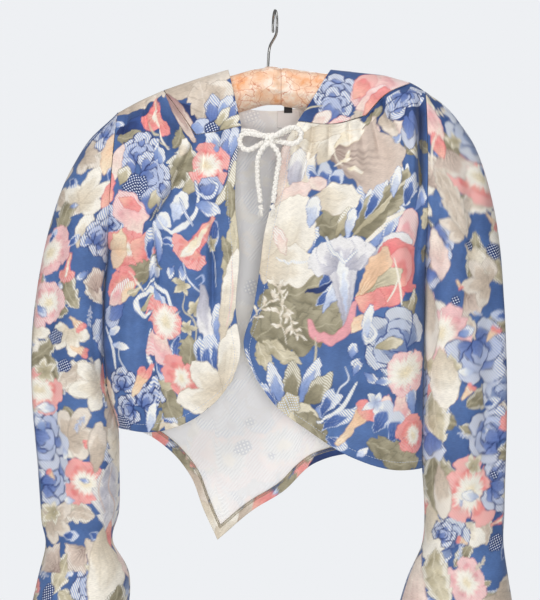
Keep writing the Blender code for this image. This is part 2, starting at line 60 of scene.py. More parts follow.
Piece = bpy.types.Object
Tree = bpy.types.NodeTree

LOG = logging.getLogger("jacket")
BODY = "root"
MM = 1000.0
CLOTH_UV = "cloth"
DYE = "dye"
WEAVE = "weave"
PAD_SEAM_X = 0.0072


# Small helpers for numbers and curves

def linear(code: str) -> Array:
    """Turn an sRGB hex colour into linear red, green and blue."""
    raw = np.array([int(code[i:i + 2], 16) for i in (1, 3, 5)]) / 255.0
    return np.where(raw <= 0.04045, raw / 12.92, ((raw + 0.055) / 1.055) ** 2.4)


def shade(code: str) -> tuple[float, ...]:
    """Turn an sRGB hex colour into a linear colour for a node socket."""
    return (*linear(code), 1.0)


def mix(start: Array, end: Array, share: Array | float) -> Array:
    """Blend from start to end by a share from 0 to 1, colour by colour."""
    return start + (end - start) * np.asarray(share)[..., None]


def unit(value: Array) -> Array:
    """Keep values between 0 and 1."""
    return np.clip(value, 0.0, 1.0)


def ease(value: Array, low: float = 0.0, high: float = 1.0) -> Array:
    """Rise smoothly from 0 at low to 1 at high."""
    t = unit((value - low) / (high - low))
    return t * t * (3.0 - 2.0 * t)


def rotated(a: Array, b: Array, turn: float) -> tuple[Array, Array]:
    """Coordinates along and across a direction that is given by its turn in degrees."""
    cosine, sine = math.cos(math.radians(turn)), math.sin(math.radians(turn))
    return a * cosine + b * sine, b * cosine - a * sine


def lengths(points: Array, axis: int = 0) -> Array:
    """Length of each step from point to point."""
    return np.linalg.norm(np.diff(points, axis=axis), axis=-1)


def running(points: Array) -> Array:
    """Running length along a line of points, from 0."""
    return np.append(0.0, np.cumsum(lengths(points)))


def ripple(places: Array, wavelength: float, seed: int, waves: int = 7) -> Array:
    """Uneven smooth waves over flat places.

    Args:
        places: Points with two coordinates in the last axis.
        wavelength: Typical distance from crest to crest.
        seed: Seed of the waves' directions and lengths.
        waves: How many plain waves are added up.

    Returns:
        Heights of about -1 to 1.
    """
    total = np.zeros(places.shape[:-1])
    for turn, phase, stretch in np.random.default_rng(seed).uniform(size=(waves, 3)):
        heading = np.array([math.cos(math.tau * turn), math.sin(math.tau * turn)])
        pitch = wavelength * (0.7 + 0.6 * stretch)
        total += np.sin(places @ heading * math.tau / pitch + math.tau * phase)
    return total / math.sqrt(waves)


def between(start: Array, end: Array, lead: Array, trail: Array, t: Array) -> Array:
    """Values at shares t between two ends, smooth with the slopes at both."""
    bend = t * (1.0 - t) ** 2 * lead - t * t * (1.0 - t) * trail
    return start + (end - start) * t * t * (3.0 - 2.0 * t) + bend


def smooth_curve(points: Sequence, fractions: Array) -> Array:
    """Points at fractions of the way along a smooth curve.

    Args:
        points: Points that the curve passes through.
        fractions: Shares of its length, from 0 to 1.

    Returns:
        One point for each fraction.
    """
    knots = np.asarray(points, dtype=float)
    steps, reach = lengths(knots), running(knots)
    slopes = np.gradient(knots, reach, axis=0)
    along = np.asarray(fractions) * reach[-1]
    index = np.clip(np.searchsorted(reach, along, side="right") - 1, 0, len(steps) - 1)
    width = steps[index][:, None]
    t = (along - reach[index])[:, None] / width
    return between(knots[index], knots[index + 1], width * slopes[index], width * slopes[index + 1], t)


def joined_curve(*pieces: Sequence, shares: Sequence[float] = (1.0,)) -> Curve:
    """Join smooth pieces into one border.

    Args:
        pieces: Tables of points, end to end.
        shares: The share of the fractions from 0 to 1 that each piece takes.

    Returns:
        A function from fractions to points.
    """
    bounds = np.append(0.0, np.cumsum(shares) / np.sum(shares))

    def at(fractions: Array) -> Array:
        """Find points of the joined border.

        Args:
            fractions: Shares of the way along it.

        Returns:
            One point for each fraction.
        """
        fractions = np.asarray(fractions)
        result = np.zeros((len(fractions), 2))
        for piece, low, high in zip(pieces, bounds[:-1], bounds[1:]):
            inside = (fractions >= low - 1e-9) & (fractions <= high + 1e-9)
            result[inside] = smooth_curve(piece, unit((fractions[inside] - low) / (high - low)))
        return result

    return at


def snapped(fractions: Array, marks: Sequence[float]) -> Array:
    """Move the fraction nearest to each mark onto that mark.

    Args:
        fractions: Rising fractions.
        marks: Fractions that must be among them.

    Returns:
        The fractions with the marks in them.
    """
    result = np.array(fractions)
    for mark in marks:
        result[np.argmin(np.abs(result - mark))] = mark
    return result


def patch(top: Curve, bottom: Curve, first: Curve, last: Curve, columns: Array, rows: Array) -> Array:
    """Fill a surface between four border curves.

    Args:
        top: Upper border, along the columns.
        bottom: Lower border, along the columns.
        first: Border of the first column, down the rows.
        last: Border of the last column, down the rows.
        columns: Fractions along the upper and lower borders.
        rows: Fractions down the other two.

    Returns:
        Rows of (x, z).
    """
    u, v = columns[None, :, None], rows[:, None, None]
    top_row, bottom_row = top(columns)[None], bottom(columns)[None]
    corners = (
        (1 - u) * (1 - v) * top_row[:, :1] + u * (1 - v) * top_row[:, -1:]
        + (1 - u) * v * bottom_row[:, :1] + u * v * bottom_row[:, -1:]
    )
    sides = (1 - u) * first(rows)[:, None] + u * last(rows)[:, None]
    return (1 - v) * top_row + v * bottom_row + sides - corners


def inward_line(line: Array, width: float) -> Array:
    """Move a line to its left, with mitred corners.

    Args:
        line: Points of the line.
        width: How far it moves.

    Returns:
        The moved points.
    """
    steps = np.diff(line, axis=0)
    steps = steps / np.linalg.norm(steps, axis=1)[:, None]
    normals = np.stack([-steps[:, 1], steps[:, 0]], axis=1)
    after = np.concatenate([normals, normals[-1:]])
    middle = np.concatenate([normals[:1], normals]) + after
    middle = middle / np.linalg.norm(middle, axis=1)[:, None]
    return line + middle * width / np.sum(middle * after, axis=1)[:, None]


def resampled(path: Array, spacing: float) -> Array:
    """Points at an even spacing along a smooth path.

    Args:
        path: Points that the path passes through.
        spacing: Distance from point to point.

    Returns:
        The points.
    """
    fine = smooth_curve(path, np.linspace(0.0, 1.0, 20 * len(path)))
    reach = running(fine)
    along = np.linspace(0.0, reach[-1], max(3, round(np.sum(lengths(path)) / spacing) + 1))
    return np.stack([np.interp(along, reach, fine[:, i]) for i in range(3)], axis=1)


# Meshes from arrays

def mesh_object(
    name: str, vertices: Array, faces: Sequence[Array], materials: Sequence[Material],
    slots: Sequence[int] = (0,), corners: Array | None = None, colours: dict[str, Array] | None = None,
) -> Piece:
    """Make a smooth mesh object from arrays.

    Args:
        name: Name of the piece.
        vertices: Points, one row each.
        faces: Arrays of vertex numbers, each array with faces of one size.
        materials: Materials of the piece.
        slots: Number of the material for each array of faces.
        corners: Place on the flat cloth of every face corner, in order.
        colours: Linear colours of the points, by attribute name.

    Returns:
        The object, linked to the scene.
    """
    loops = np.concatenate([part.ravel() for part in faces]).astype(np.int32)
    sizes = np.concatenate([np.full(len(part), part.shape[1]) for part in faces])
    chosen = np.concatenate([np.full(len(part), slot) for part, slot in zip(faces, slots)])
    mesh = bpy.data.meshes.new(name)
    mesh.vertices.add(len(vertices))
    mesh.vertices.foreach_set("co", vertices.astype(np.float32).ravel())
    mesh.loops.add(len(loops))
    mesh.loops.foreach_set("vertex_index", loops)
    mesh.polygons.add(len(sizes))
    mesh.polygons.foreach_set("loop_start", np.append(0, np.cumsum(sizes)[:-1]).astype(np.int32))
    for material in materials:
        mesh.materials.append(material)
    mesh.polygons.foreach_set("material_index", chosen.astype(np.int32))
    mesh.update(calc_edges=True)
    if corners is not None:
        mesh.uv_layers.new(name=CLOTH_UV).uv.foreach_set("vector", corners.astype(np.float32).ravel())
    for title, values in (colours or {}).items():
        layer = mesh.attributes.new(title, "FLOAT_COLOR", "POINT")
        full = np.concatenate([values, np.ones((len(values), 1))], axis=1)
        layer.data.foreach_set("color", full.astype(np.float32).ravel())
    mesh.shade_smooth()
    item = bpy.data.objects.new(name, mesh)
    bpy.context.scene.collection.objects.link(item)
    return item


@dataclass
class MeshParts:
    """Closed shapes gathered to become one piece."""

    vertices: list[Array] = field(default_factory=list)
    faces: list[Array] = field(default_factory=list)
    count: int = 0

    def tube(self, rings: Array) -> None:
        """Add a closed tube.

        Args:
            rings: Rings of points along the tube, each ring turning to the left seen from its start.
        """
        rows, sides = rings.shape[:2]
        number = self.count + np.arange(rows * sides).reshape(rows, sides)
        after = np.roll(number, -1, axis=1)
        start = self.count + rows * sides
        self.faces += [
            np.stack([number[:-1], after[:-1], after[1:], number[1:]], axis=-1).reshape(-1, 4),
            np.stack([after[0], number[0], np.full(sides, start)], axis=-1),
            np.stack([number[-1], after[-1], np.full(sides, start + 1)], axis=-1),
        ]
        self.vertices += [rings.reshape(-1, 3), rings[[0, -1]].mean(axis=1)]
        self.count = start + 2

    def build(self, name: str, material: Material) -> Piece:
        """Make the piece from everything added."""
        slots = [0] * len(self.faces)
        return mesh_object(name, np.concatenate(self.vertices), self.faces, [material], slots)


def points_of(mesh: bpy.types.Mesh) -> Array:
    """Read a mesh's points.

    Args:
        mesh: The mesh.

    Returns:
        Its points, one row each.
    """
    values = np.empty(3 * len(mesh.vertices), dtype=np.float32)
    mesh.vertices.foreach_get("co", values)
    return values.reshape(-1, 3).astype(float)


def applied(item: Piece) -> None:
    """Turn an object's modifiers into its plain mesh.

    Args:
        item: The object, changed in place.
    """
    graph = bpy.context.evaluated_depsgraph_get()
    plain = item.data
    item.data = bpy.data.meshes.new_from_object(item.evaluated_get(graph))
    item.modifiers.clear()
    bpy.data.meshes.remove(plain)


def round_tube(path: Array, radius: Array | float, sides: int) -> Array:
    """Rings of a round tube along a path.

    Args:
        path: Points of its middle line.
        radius: Its radius, one or one for each point.
        sides: Points in a ring.

    Returns:
        The rings.
    """
    _, across, other = path_frames(path)
    turn = np.linspace(0.0, math.tau, sides, endpoint=False)
    size = np.broadcast_to(radius, len(path))[:, None, None]
    ring = np.cos(turn)[None, :, None] * across[:, None] + np.sin(turn)[None, :, None] * other[:, None]
    return path[:, None] + ring * size


def path_frames(path: Array) -> tuple[Array, Array, Array]:
    """Carry a frame along a path without twisting it.

    Args:
        path: Points of the path.

    Returns:
        The heading at each point and two directions across it.
    """
    heading = np.gradient(path, axis=0)
    heading /= np.linalg.norm(heading, axis=1)[:, None]
    across = np.zeros_like(heading)
    seed = np.array([0.0, -1.0, 0.0]) if abs(heading[0][1]) < 0.9 else np.array([1.0, 0.0, 0.0])
    for row, forward in enumerate(heading):
        seed = seed - forward * np.dot(seed, forward)
        seed = seed / np.linalg.norm(seed)
        across[row] = seed
    return heading, across, np.cross(heading, across)


def tie_in(piece: Piece, slot: str, *nodes: str) -> None:
    """Tie a piece to the frame and report it.

    Args:
        piece: The piece.
        slot: Not used.
        nodes: CAD nodes that it stands for.
    """
    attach(piece, BODY)
    if nodes:
        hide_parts(*nodes)
    LOG.info("%s: %d faces", piece.name, len(piece.data.polygons))


# Node trees

def connect(tree: Tree, node: Node, inputs: dict) -> None:
    """Set or link inputs of a node.

    Args:
        tree: The tree that holds the node.
        node: The node.
        inputs: For each input name or number, a value, a socket, or a node whose first output is linked.
    """
    for key, value in inputs.items():
        if isinstance(value, Node):
            value = next(socket for socket in value.outputs if socket.enabled)
        if isinstance(value, bpy.types.NodeSocket):
            tree.links.new(value, node.inputs[key])
        else:
            node.inputs[key].default_value = value


def add_node(tree: Tree, kind: str, inputs: dict | None = None, **settings: object) -> Node:
    """Add a node with its settings and links.

    Args:
        tree: The tree that takes the node.
        kind: The node's type name.
        inputs: What its inputs take, as in connect.
        settings: Properties of the node.

    Returns:
        The new node.
    """
    node = tree.nodes.new(kind)
    for name, value in settings.items():
        setattr(node, name, value)
    connect(tree, node, inputs or {})
    return node


def new_material(name: str) -> tuple[Material, partial, Callable]:
    """Start a material.

    Args:
        name: Its name.

    Returns:
        The material, a call that adds a node to it, and one that sets inputs of its surface shader.
    """
    material = bpy.data.materials.new(name)
    material.use_nodes = True
    tree = material.node_tree
    return material, partial(add_node, tree), partial(connect, tree, tree.nodes["Principled BSDF"])


# Finishes

@dataclass(frozen=True)
class Jacquard:
    """Weave that both sides of the cloth share: raised threads in slanted lines and in checks."""

    hatch_turn: float
    hatch_pitch: float
    check_pitch: float
    roughness: float
    check_turn: float = 20.0
    hatch_wander: float = 0.5
    check_wander: float = 0.25
    drift_scale: float = 90.0
    # Where a thread's edge begins and ends, as shares of the pitch
    thread_edge: tuple[float, float] = (0.17, 0.31)

    def stripes(self, add: partial, place: Node, turn: float, pitch: float, wander: float) -> Node:
        """Draw raised threads side by side across the cloth.

        Args:
            add: Adds a node.
            place: Place on the cloth, in metres.
            turn: Direction across the threads, in degrees.
            pitch: Distance from thread to thread.
            wander: How unevenly the threads lie, as a share of the pitch.

        Returns:
            A node that gives 1 on a thread and 0 between threads.
        """
        heading = (math.cos(math.radians(turn)) / pitch, math.sin(math.radians(turn)) / pitch, 0.0)
        along = add("ShaderNodeVectorMath", {0: place, 1: heading}, operation="DOT_PRODUCT")
        drift = add("ShaderNodeTexNoise", {"Vector": place, "Scale": self.drift_scale, "Detail": 1.0})
        moved = add("ShaderNodeMath", {0: drift, 1: wander, 2: along}, operation="MULTIPLY_ADD")
        wave = add("ShaderNodeMath", {0: moved, 1: 0.5}, operation="PINGPONG")
        low, high = self.thread_edge
        edges = {"Value": wave, "From Min": low, "From Max": high}
        return add("ShaderNodeMapRange", edges, interpolation_type="SMOOTHSTEP")

    def weave(self, add: partial) -> tuple[Node, Node, Node, Node, Node, Node]:
        """Raise threads where the cloth's masks ask for them.

        Args:
            add: Adds a node.

        Returns:
            Nodes of the place on the cloth, the dye, the masks, the raised lines, the raised checks and both.
        """
        place = add("ShaderNodeUVMap", uv_map=CLOTH_UV)
        dye = add("ShaderNodeAttribute", attribute_name=DYE)
        masks = add("ShaderNodeSeparateColor", {"Color": add("ShaderNodeAttribute", attribute_name=WEAVE)})
        hatch = self.stripes(add, place, self.hatch_turn, self.hatch_pitch, self.hatch_wander)
        warp, weft = (
            self.stripes(add, place, self.check_turn + square, self.check_pitch, self.check_wander)
            for square in (0.0, 90.0)
        )
        lattice = add("ShaderNodeMath", {0: warp, 1: weft}, operation="MULTIPLY")
        lines = add("ShaderNodeMath", {0: hatch, 1: masks.outputs["Red"]}, operation="MULTIPLY")
        checks = add("ShaderNodeMath", {0: lattice, 1: masks.outputs["Green"]}, operation="MULTIPLY")
        relief = add("ShaderNodeMath", {0: lines, 1: checks}, operation="ADD")
        return place, dye, masks, lines, checks, relief


@dataclass(frozen=True)
class FloralJacquard(Jacquard):
    """Printed viscose jacquard: matt, with raised white threads in lines and checks over a dyed ground."""

    hatch_turn: float = 38.0
    hatch_pitch: float = 0.0025
    check_pitch: float = 0.0029
    roughness: float = 0.66
    # The real weave has about 25 threads to the centimetre, drawn coarser here so that it shows
    slub_scale: Point = (260.0, 1100.0, 1.0)
    slub_height: float = 0.7
    slub_tone: float = 0.13
    raised: str = "#F4F2EA"
    lattice: str = "#DCE4F4"

    def material(self) -> Material:
        """Make the right side of the cloth.

        Returns:
            The material.
        """
        material, add, surface = new_material("floral_jacquard_face")
        place, dye, _, lines, checks, relief = self.weave(add)
        stretched = add("ShaderNodeVectorMath", {0: place, 1: self.slub_scale}, operation="MULTIPLY")
        slub = add("ShaderNodeTexNoise", {"Vector": stretched, "Scale": 1.0, "Detail": 2.0})
        low, high = 1.0 - self.slub_tone, 1.0 + self.slub_tone
        spread = {"Value": slub, "From Min": 0.25, "From Max": 0.75, "To Min": low, "To Max": high}
        tone = add("ShaderNodeMapRange", spread)
        heather = add("ShaderNodeVectorMath", {0: dye, "Scale": tone}, operation="SCALE")
        lined = add("ShaderNodeMix", {0: lines, 6: heather, 7: shade(self.raised)}, data_type="RGBA")
        netted = add("ShaderNodeMix", {0: checks, 6: lined, 7: shade(self.lattice)}, data_type="RGBA")
        height = add("ShaderNodeMath", {0: slub, 1: self.slub_height, 2: relief}, operation="MULTIPLY_ADD")
        bump = add("ShaderNodeBump", {"Strength": 0.5, "Distance": 0.0004, "Height": height})
        surface({
            "Base Color": netted, "Normal": bump, "Roughness": self.roughness, "Specular IOR Level": 0.35,
            "Sheen Weight": 0.12, "Sheen Roughness": 0.5,
        })
        return material


@dataclass(frozen=True)
class JacquardReverse(Jacquard):
    """Wrong side of the jacquard: pale, with the dye faint, the raised threads in white relief and painted
    shade between them.
    """

    hatch_turn: float = 142.0
    hatch_pitch: float = 0.0034
    check_pitch: float = 0.0044
    roughness: float = 0.72
    ground: str = "#FDFBF8"
    raised: str = "#FFFFFE"
    # Painted shade: tone of the ground between raised threads, and how far it darkens
    gap_shade: str = "#C3CCDC"
    gap_shading: float = 0.30
    dye_through: float = 0.13

    def material(self) -> Material:
        """Make the wrong side of the cloth.

        Returns:
            The material.
        """
        material, add, surface = new_material("floral_jacquard_reverse")
        _, dye, masks, _, _, relief = self.weave(add)
        faint = add("ShaderNodeMix", {0: self.dye_through, 6: shade(self.ground), 7: dye}, data_type="RGBA")
        # Painted shade darkens the ground where raised threads lie, as in the hollows between them
        both = {0: masks.outputs["Red"], 1: masks.outputs["Green"]}
        woven = add("ShaderNodeMath", both, operation="MAXIMUM")
        depth = add("ShaderNodeMath", {0: woven, 1: self.gap_shading}, operation="MULTIPLY")
        gaps = add("ShaderNodeMix", {0: depth, 6: faint, 7: shade(self.gap_shade)}, data_type="RGBA")
        lined = add("ShaderNodeMix", {0: relief, 6: gaps, 7: shade(self.raised)}, data_type="RGBA")
        bump = add("ShaderNodeBump", {"Strength": 0.6, "Distance": 0.0005, "Height": relief})
        surface({
            "Base Color": lined, "Normal": bump, "Roughness": self.roughness, "Specular IOR Level": 0.3,
            "Sheen Weight": 0.1,
        })
        return material


@dataclass(frozen=True)
class MarbledSatin:
    """Polyester satin with a marbled print: soft gloss, peach ground, rust veins and orange clouds."""

    ground: str = "#F6CDAC"
    cloud: str = "#F0A266"
    pale: str = "#FDEBD9"
    vein: str = "#CF7A54"
    cloud_size: float = 0.021
    vein_size: float = 0.017
    vein_bend: float = 0.024
    strand_size: float = 0.013
    # Painted shade of the middle seam's crease: its tone, place and half width
    seam: str = "#A96A50"
    seam_x: float = PAD_SEAM_X
    seam_half: float = 0.0007
    crumple_scale: float = 110.0
    roughness: float = 0.42

    def veins(self, add: partial, place: bpy.types.NodeSocket, bent: Node) -> Node:
        """Draw broken veins and a finer web between them.

        Args:
            add: Adds a node.
            place: Place on the pad.
            bent: The same place, unevenly moved.

        Returns:
            A node that is high on a line.
        """
        cell = {"Vector": bent, "Scale": 1.0 / self.vein_size}
        cells = add("ShaderNodeTexVoronoi", cell, feature="DISTANCE_TO_EDGE")
        edges = {"Value": cells, "From Min": 0.0, "From Max": 0.040, "To Min": 0.85, "To Max": 0.0}
        crack = add("ShaderNodeMapRange", edges, interpolation_type="SMOOTHSTEP")
        broken = add("ShaderNodeTexNoise", {"Vector": place, "Scale": 0.8 / self.vein_size, "Detail": 2.0})
        kept = add("ShaderNodeMapRange", {"Value": broken, "From Min": 0.26, "From Max": 0.46})
        vein = add("ShaderNodeMath", {0: crack, 1: kept}, operation="MULTIPLY")
        fine = {"Vector": place, "Scale": 1.0 / self.strand_size, "Detail": 3.0, "Distortion": 1.2}
        beside = add("ShaderNodeMath", {0: add("ShaderNodeTexNoise", fine), 1: 0.5}, operation="SUBTRACT")
        apart = add("ShaderNodeMath", {0: beside}, operation="ABSOLUTE")
        edges = {"Value": apart, "From Min": 0.0, "From Max": 0.020, "To Min": 0.45, "To Max": 0.0}
        web = add("ShaderNodeMapRange", edges)
        return add("ShaderNodeMath", {0: vein, 1: web}, operation="MAXIMUM")

    def sewn(self, add: partial, place: bpy.types.NodeSocket) -> Node:
        """Draw the painted shade along the middle seam's crease.

        Args:
            add: Adds a node.
            place: Place on the pad.

        Returns:
            A node that is high on the seam.
        """
        axes = add("ShaderNodeSeparateXYZ", {0: place})
        offset = add("ShaderNodeMath", {0: axes.outputs["X"], 1: self.seam_x}, operation="SUBTRACT")
        away = add("ShaderNodeMath", {0: offset}, operation="ABSOLUTE")
        half = self.seam_half
        edges = {"Value": away, "From Min": 0.4 * half, "From Max": half, "To Min": 0.7, "To Max": 0.0}
        return add("ShaderNodeMapRange", edges)

    def material(self) -> Material:
        """Make the pad's cover.

        Returns:
            The material.
        """
        material, add, surface = new_material("marbled_satin")
        place = add("ShaderNodeTexCoord").outputs["Object"]
        drift = add("ShaderNodeTexNoise", {"Vector": place, "Scale": 1.0 / self.vein_size, "Detail": 3.0})
        moves = {0: drift.outputs["Color"], 1: (self.vein_bend,) * 3, 2: place}
        bent = add("ShaderNodeVectorMath", moves, operation="MULTIPLY_ADD")
        cloudy = {"Vector": bent, "Scale": 1.0 / self.cloud_size, "Detail": 4.0, "Roughness": 0.6}
        clouds = add("ShaderNodeTexNoise", cloudy)
        warm = add("ShaderNodeMapRange", {"Value": clouds, "From Min": 0.53, "From Max": 0.72})
        light = add("ShaderNodeMapRange", {"Value": clouds, "From Min": 0.50, "From Max": 0.36})
        # Print layers, and last the painted shade along the seam
        layers = (
            (warm, self.cloud), (light, self.pale), (self.veins(add, place, bent), self.vein),
            (self.sewn(add, place), self.seam),
        )
        colour = shade(self.ground)
        for share, tone in layers:
            colour = add("ShaderNodeMix", {0: share, 6: colour, 7: shade(tone)}, data_type="RGBA")
        crumple = add("ShaderNodeTexNoise", {"Vector": place, "Scale": self.crumple_scale, "Detail": 2.0})
        bump = add("ShaderNodeBump", {"Strength": 0.25, "Distance": 0.0008, "Height": crumple})
        surface({"Base Color": colour, "Normal": bump, "Roughness": self.roughness, "Sheen Weight": 0.2})
        return material


@dataclass(frozen=True)
class PlainFinish:
    """A finish of one colour family with a fine uneven surface."""

    name: str
    light: str
    dark: str
    grain: float
    depth: float
    roughness: float
    metallic: float = 0.0
    sheen: float = 0.0

    def material(self) -> Material:
        """Make the material from its two tones and its grain size.

        Returns:
            The material.
        """
        material, add, surface = new_material(self.name)
        place = add("ShaderNodeTexCoord").outputs["Object"]
        noise = add("ShaderNodeTexNoise", {"Vector": place, "Scale": 1.0 / self.grain, "Detail": 3.0})
        tone = add("ShaderNodeMix", {0: noise, 6: shade(self.dark), 7: shade(self.light)}, data_type="RGBA")
        bump = add("ShaderNodeBump", {"Strength": 0.5, "Distance": self.depth, "Height": noise})
        surface({
            "Base Color": tone, "Normal": bump, "Roughness": self.roughness, "Metallic": self.metallic,
            "Sheen Weight": self.sheen,
        })
        return material


def made(finish: FloralJacquard | JacquardReverse | MarbledSatin | PlainFinish) -> Material:
    """Field of a finish whose material is made with the set."""
    return field(default_factory=finish.material)


@dataclass(frozen=True)
class FinishSet:
    """Every material of the jacket and its hanger, made once."""

    face: Material = made(FloralJacquard())
    reverse: Material = made(JacquardReverse())
    satin: Material = made(MarbledSatin())
    # Braided cotton: soft off-white yarn, almost no gloss
    cord: Material = made(
        PlainFinish("braided_cotton", "#FCFAF5", "#F0EBE2", 0.0011, 0.0003, 0.85, sheen=0.3)
    )
    # Nickel-plated wire: bright, with faint drawing marks
    wire: Material = made(PlainFinish("nickel_plated_wire", "#B0B0AE", "#949492", 0.004, 0.00002, 0.34, 1.0))
    # Printed satin tape left bare: flat white with a fine weave
    label: Material = made(PlainFinish("label_tape", "#F6F3F0", "#E6DFDC", 0.0008, 0.0001, 0.6))
    # Woven damask tab left bare: dense black yarn
    tab: Material = made(PlainFinish("woven_tab", "#24242A", "#0C0C10", 0.0007, 0.0002, 0.7, sheen=0.2))
    # Polyester sewing thread: pale, a little gloss
    thread: Material = made(PlainFinish("sewing_thread", "#D9DDE6", "#B4BCD0", 0.0010, 0.0001, 0.5))
    # Overlock thread: dull olive with dark gaps
    overlock: Material = made(PlainFinish("overlock_thread", "#C6BB9F", "#877D65", 0.0030, 0.0001, 0.7))
    # Matt paint: flat and pale, so that the floor stays quiet
    floor: Material = made(PlainFinish("matt_floor_paint", "#EDEDEC", "#E6E6E4", 0.05, 0.0002, 0.8))


FINISHES = FinishSet()


# The print

class Dye(Enum):
    """Dyes of the print: base, tip, edge and line colours, and how strong the line inside a margin is."""

    BLUE = ("#5C74B0", "#8496C6", "#A9B7DA", "#20346C", 0.85)
    DUSK = ("#6C7FA8", "#92A2C4", "#B2BED8", "#2C4684", 0.85)
    SKY = ("#7890C4", "#A9B9DC", "#D0D9EC", "#2F4A8C", 0.4)
    OUTLINED = ("#3A5998", "#5F7AB4", "#B4C2E0", "#C9D3E8", 0.5)
    NAVY = ("#1C2F60", "#26407A", "#34508E", "#182A58")
    CORAL = ("#F2B9A8", "#E67E80", "#EE9C98", "#D2646A")
    PINK = ("#F2DCD0", "#E6A3A9", "#EFC2C2", "#CF858D")
    BLUSH = ("#EFE3D6", "#E6C9C0", "#EEDAD2", "#C9A69C")
    PEACH = ("#EFDCC0", "#EBC4A2", "#EFD4BA", "#D0A27E")
    ORANGE = ("#F0D6AC", "#E8816F", "#E2635F", "#D0705C")
    CREAM = ("#DACDB8", "#ECE5D6", "#F2ECE0", "#B7A892")
    THROAT = ("#EFE2C4", "#F2E9D8", "#F5EFE2", "#E6D6BC")
    TAUPE = ("#A8958B", "#D3C1B4", "#DCCDC1", "#8E7A72")
    MAUVE = ("#A27E7C", "#D2BAAE", "#DCCABE", "#8A6E6C")
    LILAC = ("#B4B3C0", "#DBD9DE", "#ECEAEA", "#9193AA")
    OLIVE = ("#7F7860", "#A39B82", "#BDB59C", "#5C5A4A")
    STRAW = ("#AFA588", "#D1C7AC", "#E0D8C2", "#867E66")
    BEIGE = ("#C4B4A3", "#D8CABA", "#E2D7CA", "#96877A")
    CHALK = ("#BCC8E2", "#E2E6EC", "#F0F1F0", "#5F78B2")

    def __init__(self, base: str, tip: str, edge: str, line: str, inked: float = 0.0) -> None:
        """Keep the colours as linear ones.

        Args:
            base: Colour of a petal's base.
            tip: Colour of its tip.
            edge: Colour of its margin.
            line: Colour of its outline and veins.
            inked: How strong the line inside its margin is.
        """
        self.base, self.tip, self.edge, self.line = (linear(code) for code in (base, tip, edge, line))
        self.inked = inked


class Kind(Enum):
    """Motifs of the print, in the order of their drawings."""

    PEONY = "full flower with cupped petals"
    BLOOM = "open flower of five petals with a pale middle"
    LILY = "four broad pale petals"
    TRUMPET = "trumpet flower seen from the side"
    SKIRT = "wide fan of a flower with a streaked throat"
    PETAL = "single petal"
    LEAF = "veined leaf with a ragged border"
    FEATHER = "spine of narrow leaflets"
    SPRAY = "thin stem of small leaflets"
    STAR = "small tuft of leaflets"
    CHECK = "patch of checked weave"
    LINE = "drawn line or hatched rope"


(
    BLUE, DUSK, SKY, OUTLINED, NAVY, CORAL, PINK, BLUSH, PEACH, ORANGE, CREAM, THROAT, TAUPE, MAUVE, LILAC,
    OLIVE, STRAW, BEIGE, CHALK,
) = Dye
PEONY, BLOOM, LILY, TRUMPET, SKIRT, PETAL, LEAF, FEATHER, SPRAY, STAR, CHECK, LINE = Kind
Artwork = tuple[tuple, ...]


@dataclass(frozen=True)
class Motif:
    """One motif: where it starts on the hung cloth in millimetres, its size, and its turn in degrees."""

    kind: Kind
    x: float
    z: float
    size: float
    turn: float
    dye: Dye
    width: float = 0.0
    hatch: float = 0.0


def layered(colour: Array, *layers: tuple[Array, Array]) -> Array:
    """Blend layers over a colour in turn.

    Args:
        colour: The lowest colour.
        layers: Colours, each with the share it takes at every point.

    Returns:
        The blended colours.
    """
    for over, share in layers:
        colour = mix(colour, over, share)
    return colour


def outside(a: Array, b: Array, half: Array, end: Array | float) -> Array:
    """Gap to a shape of a half width that runs from 0 to an end, negative inside it."""
    return np.maximum(np.abs(b) - half, np.maximum(-a, a - end))


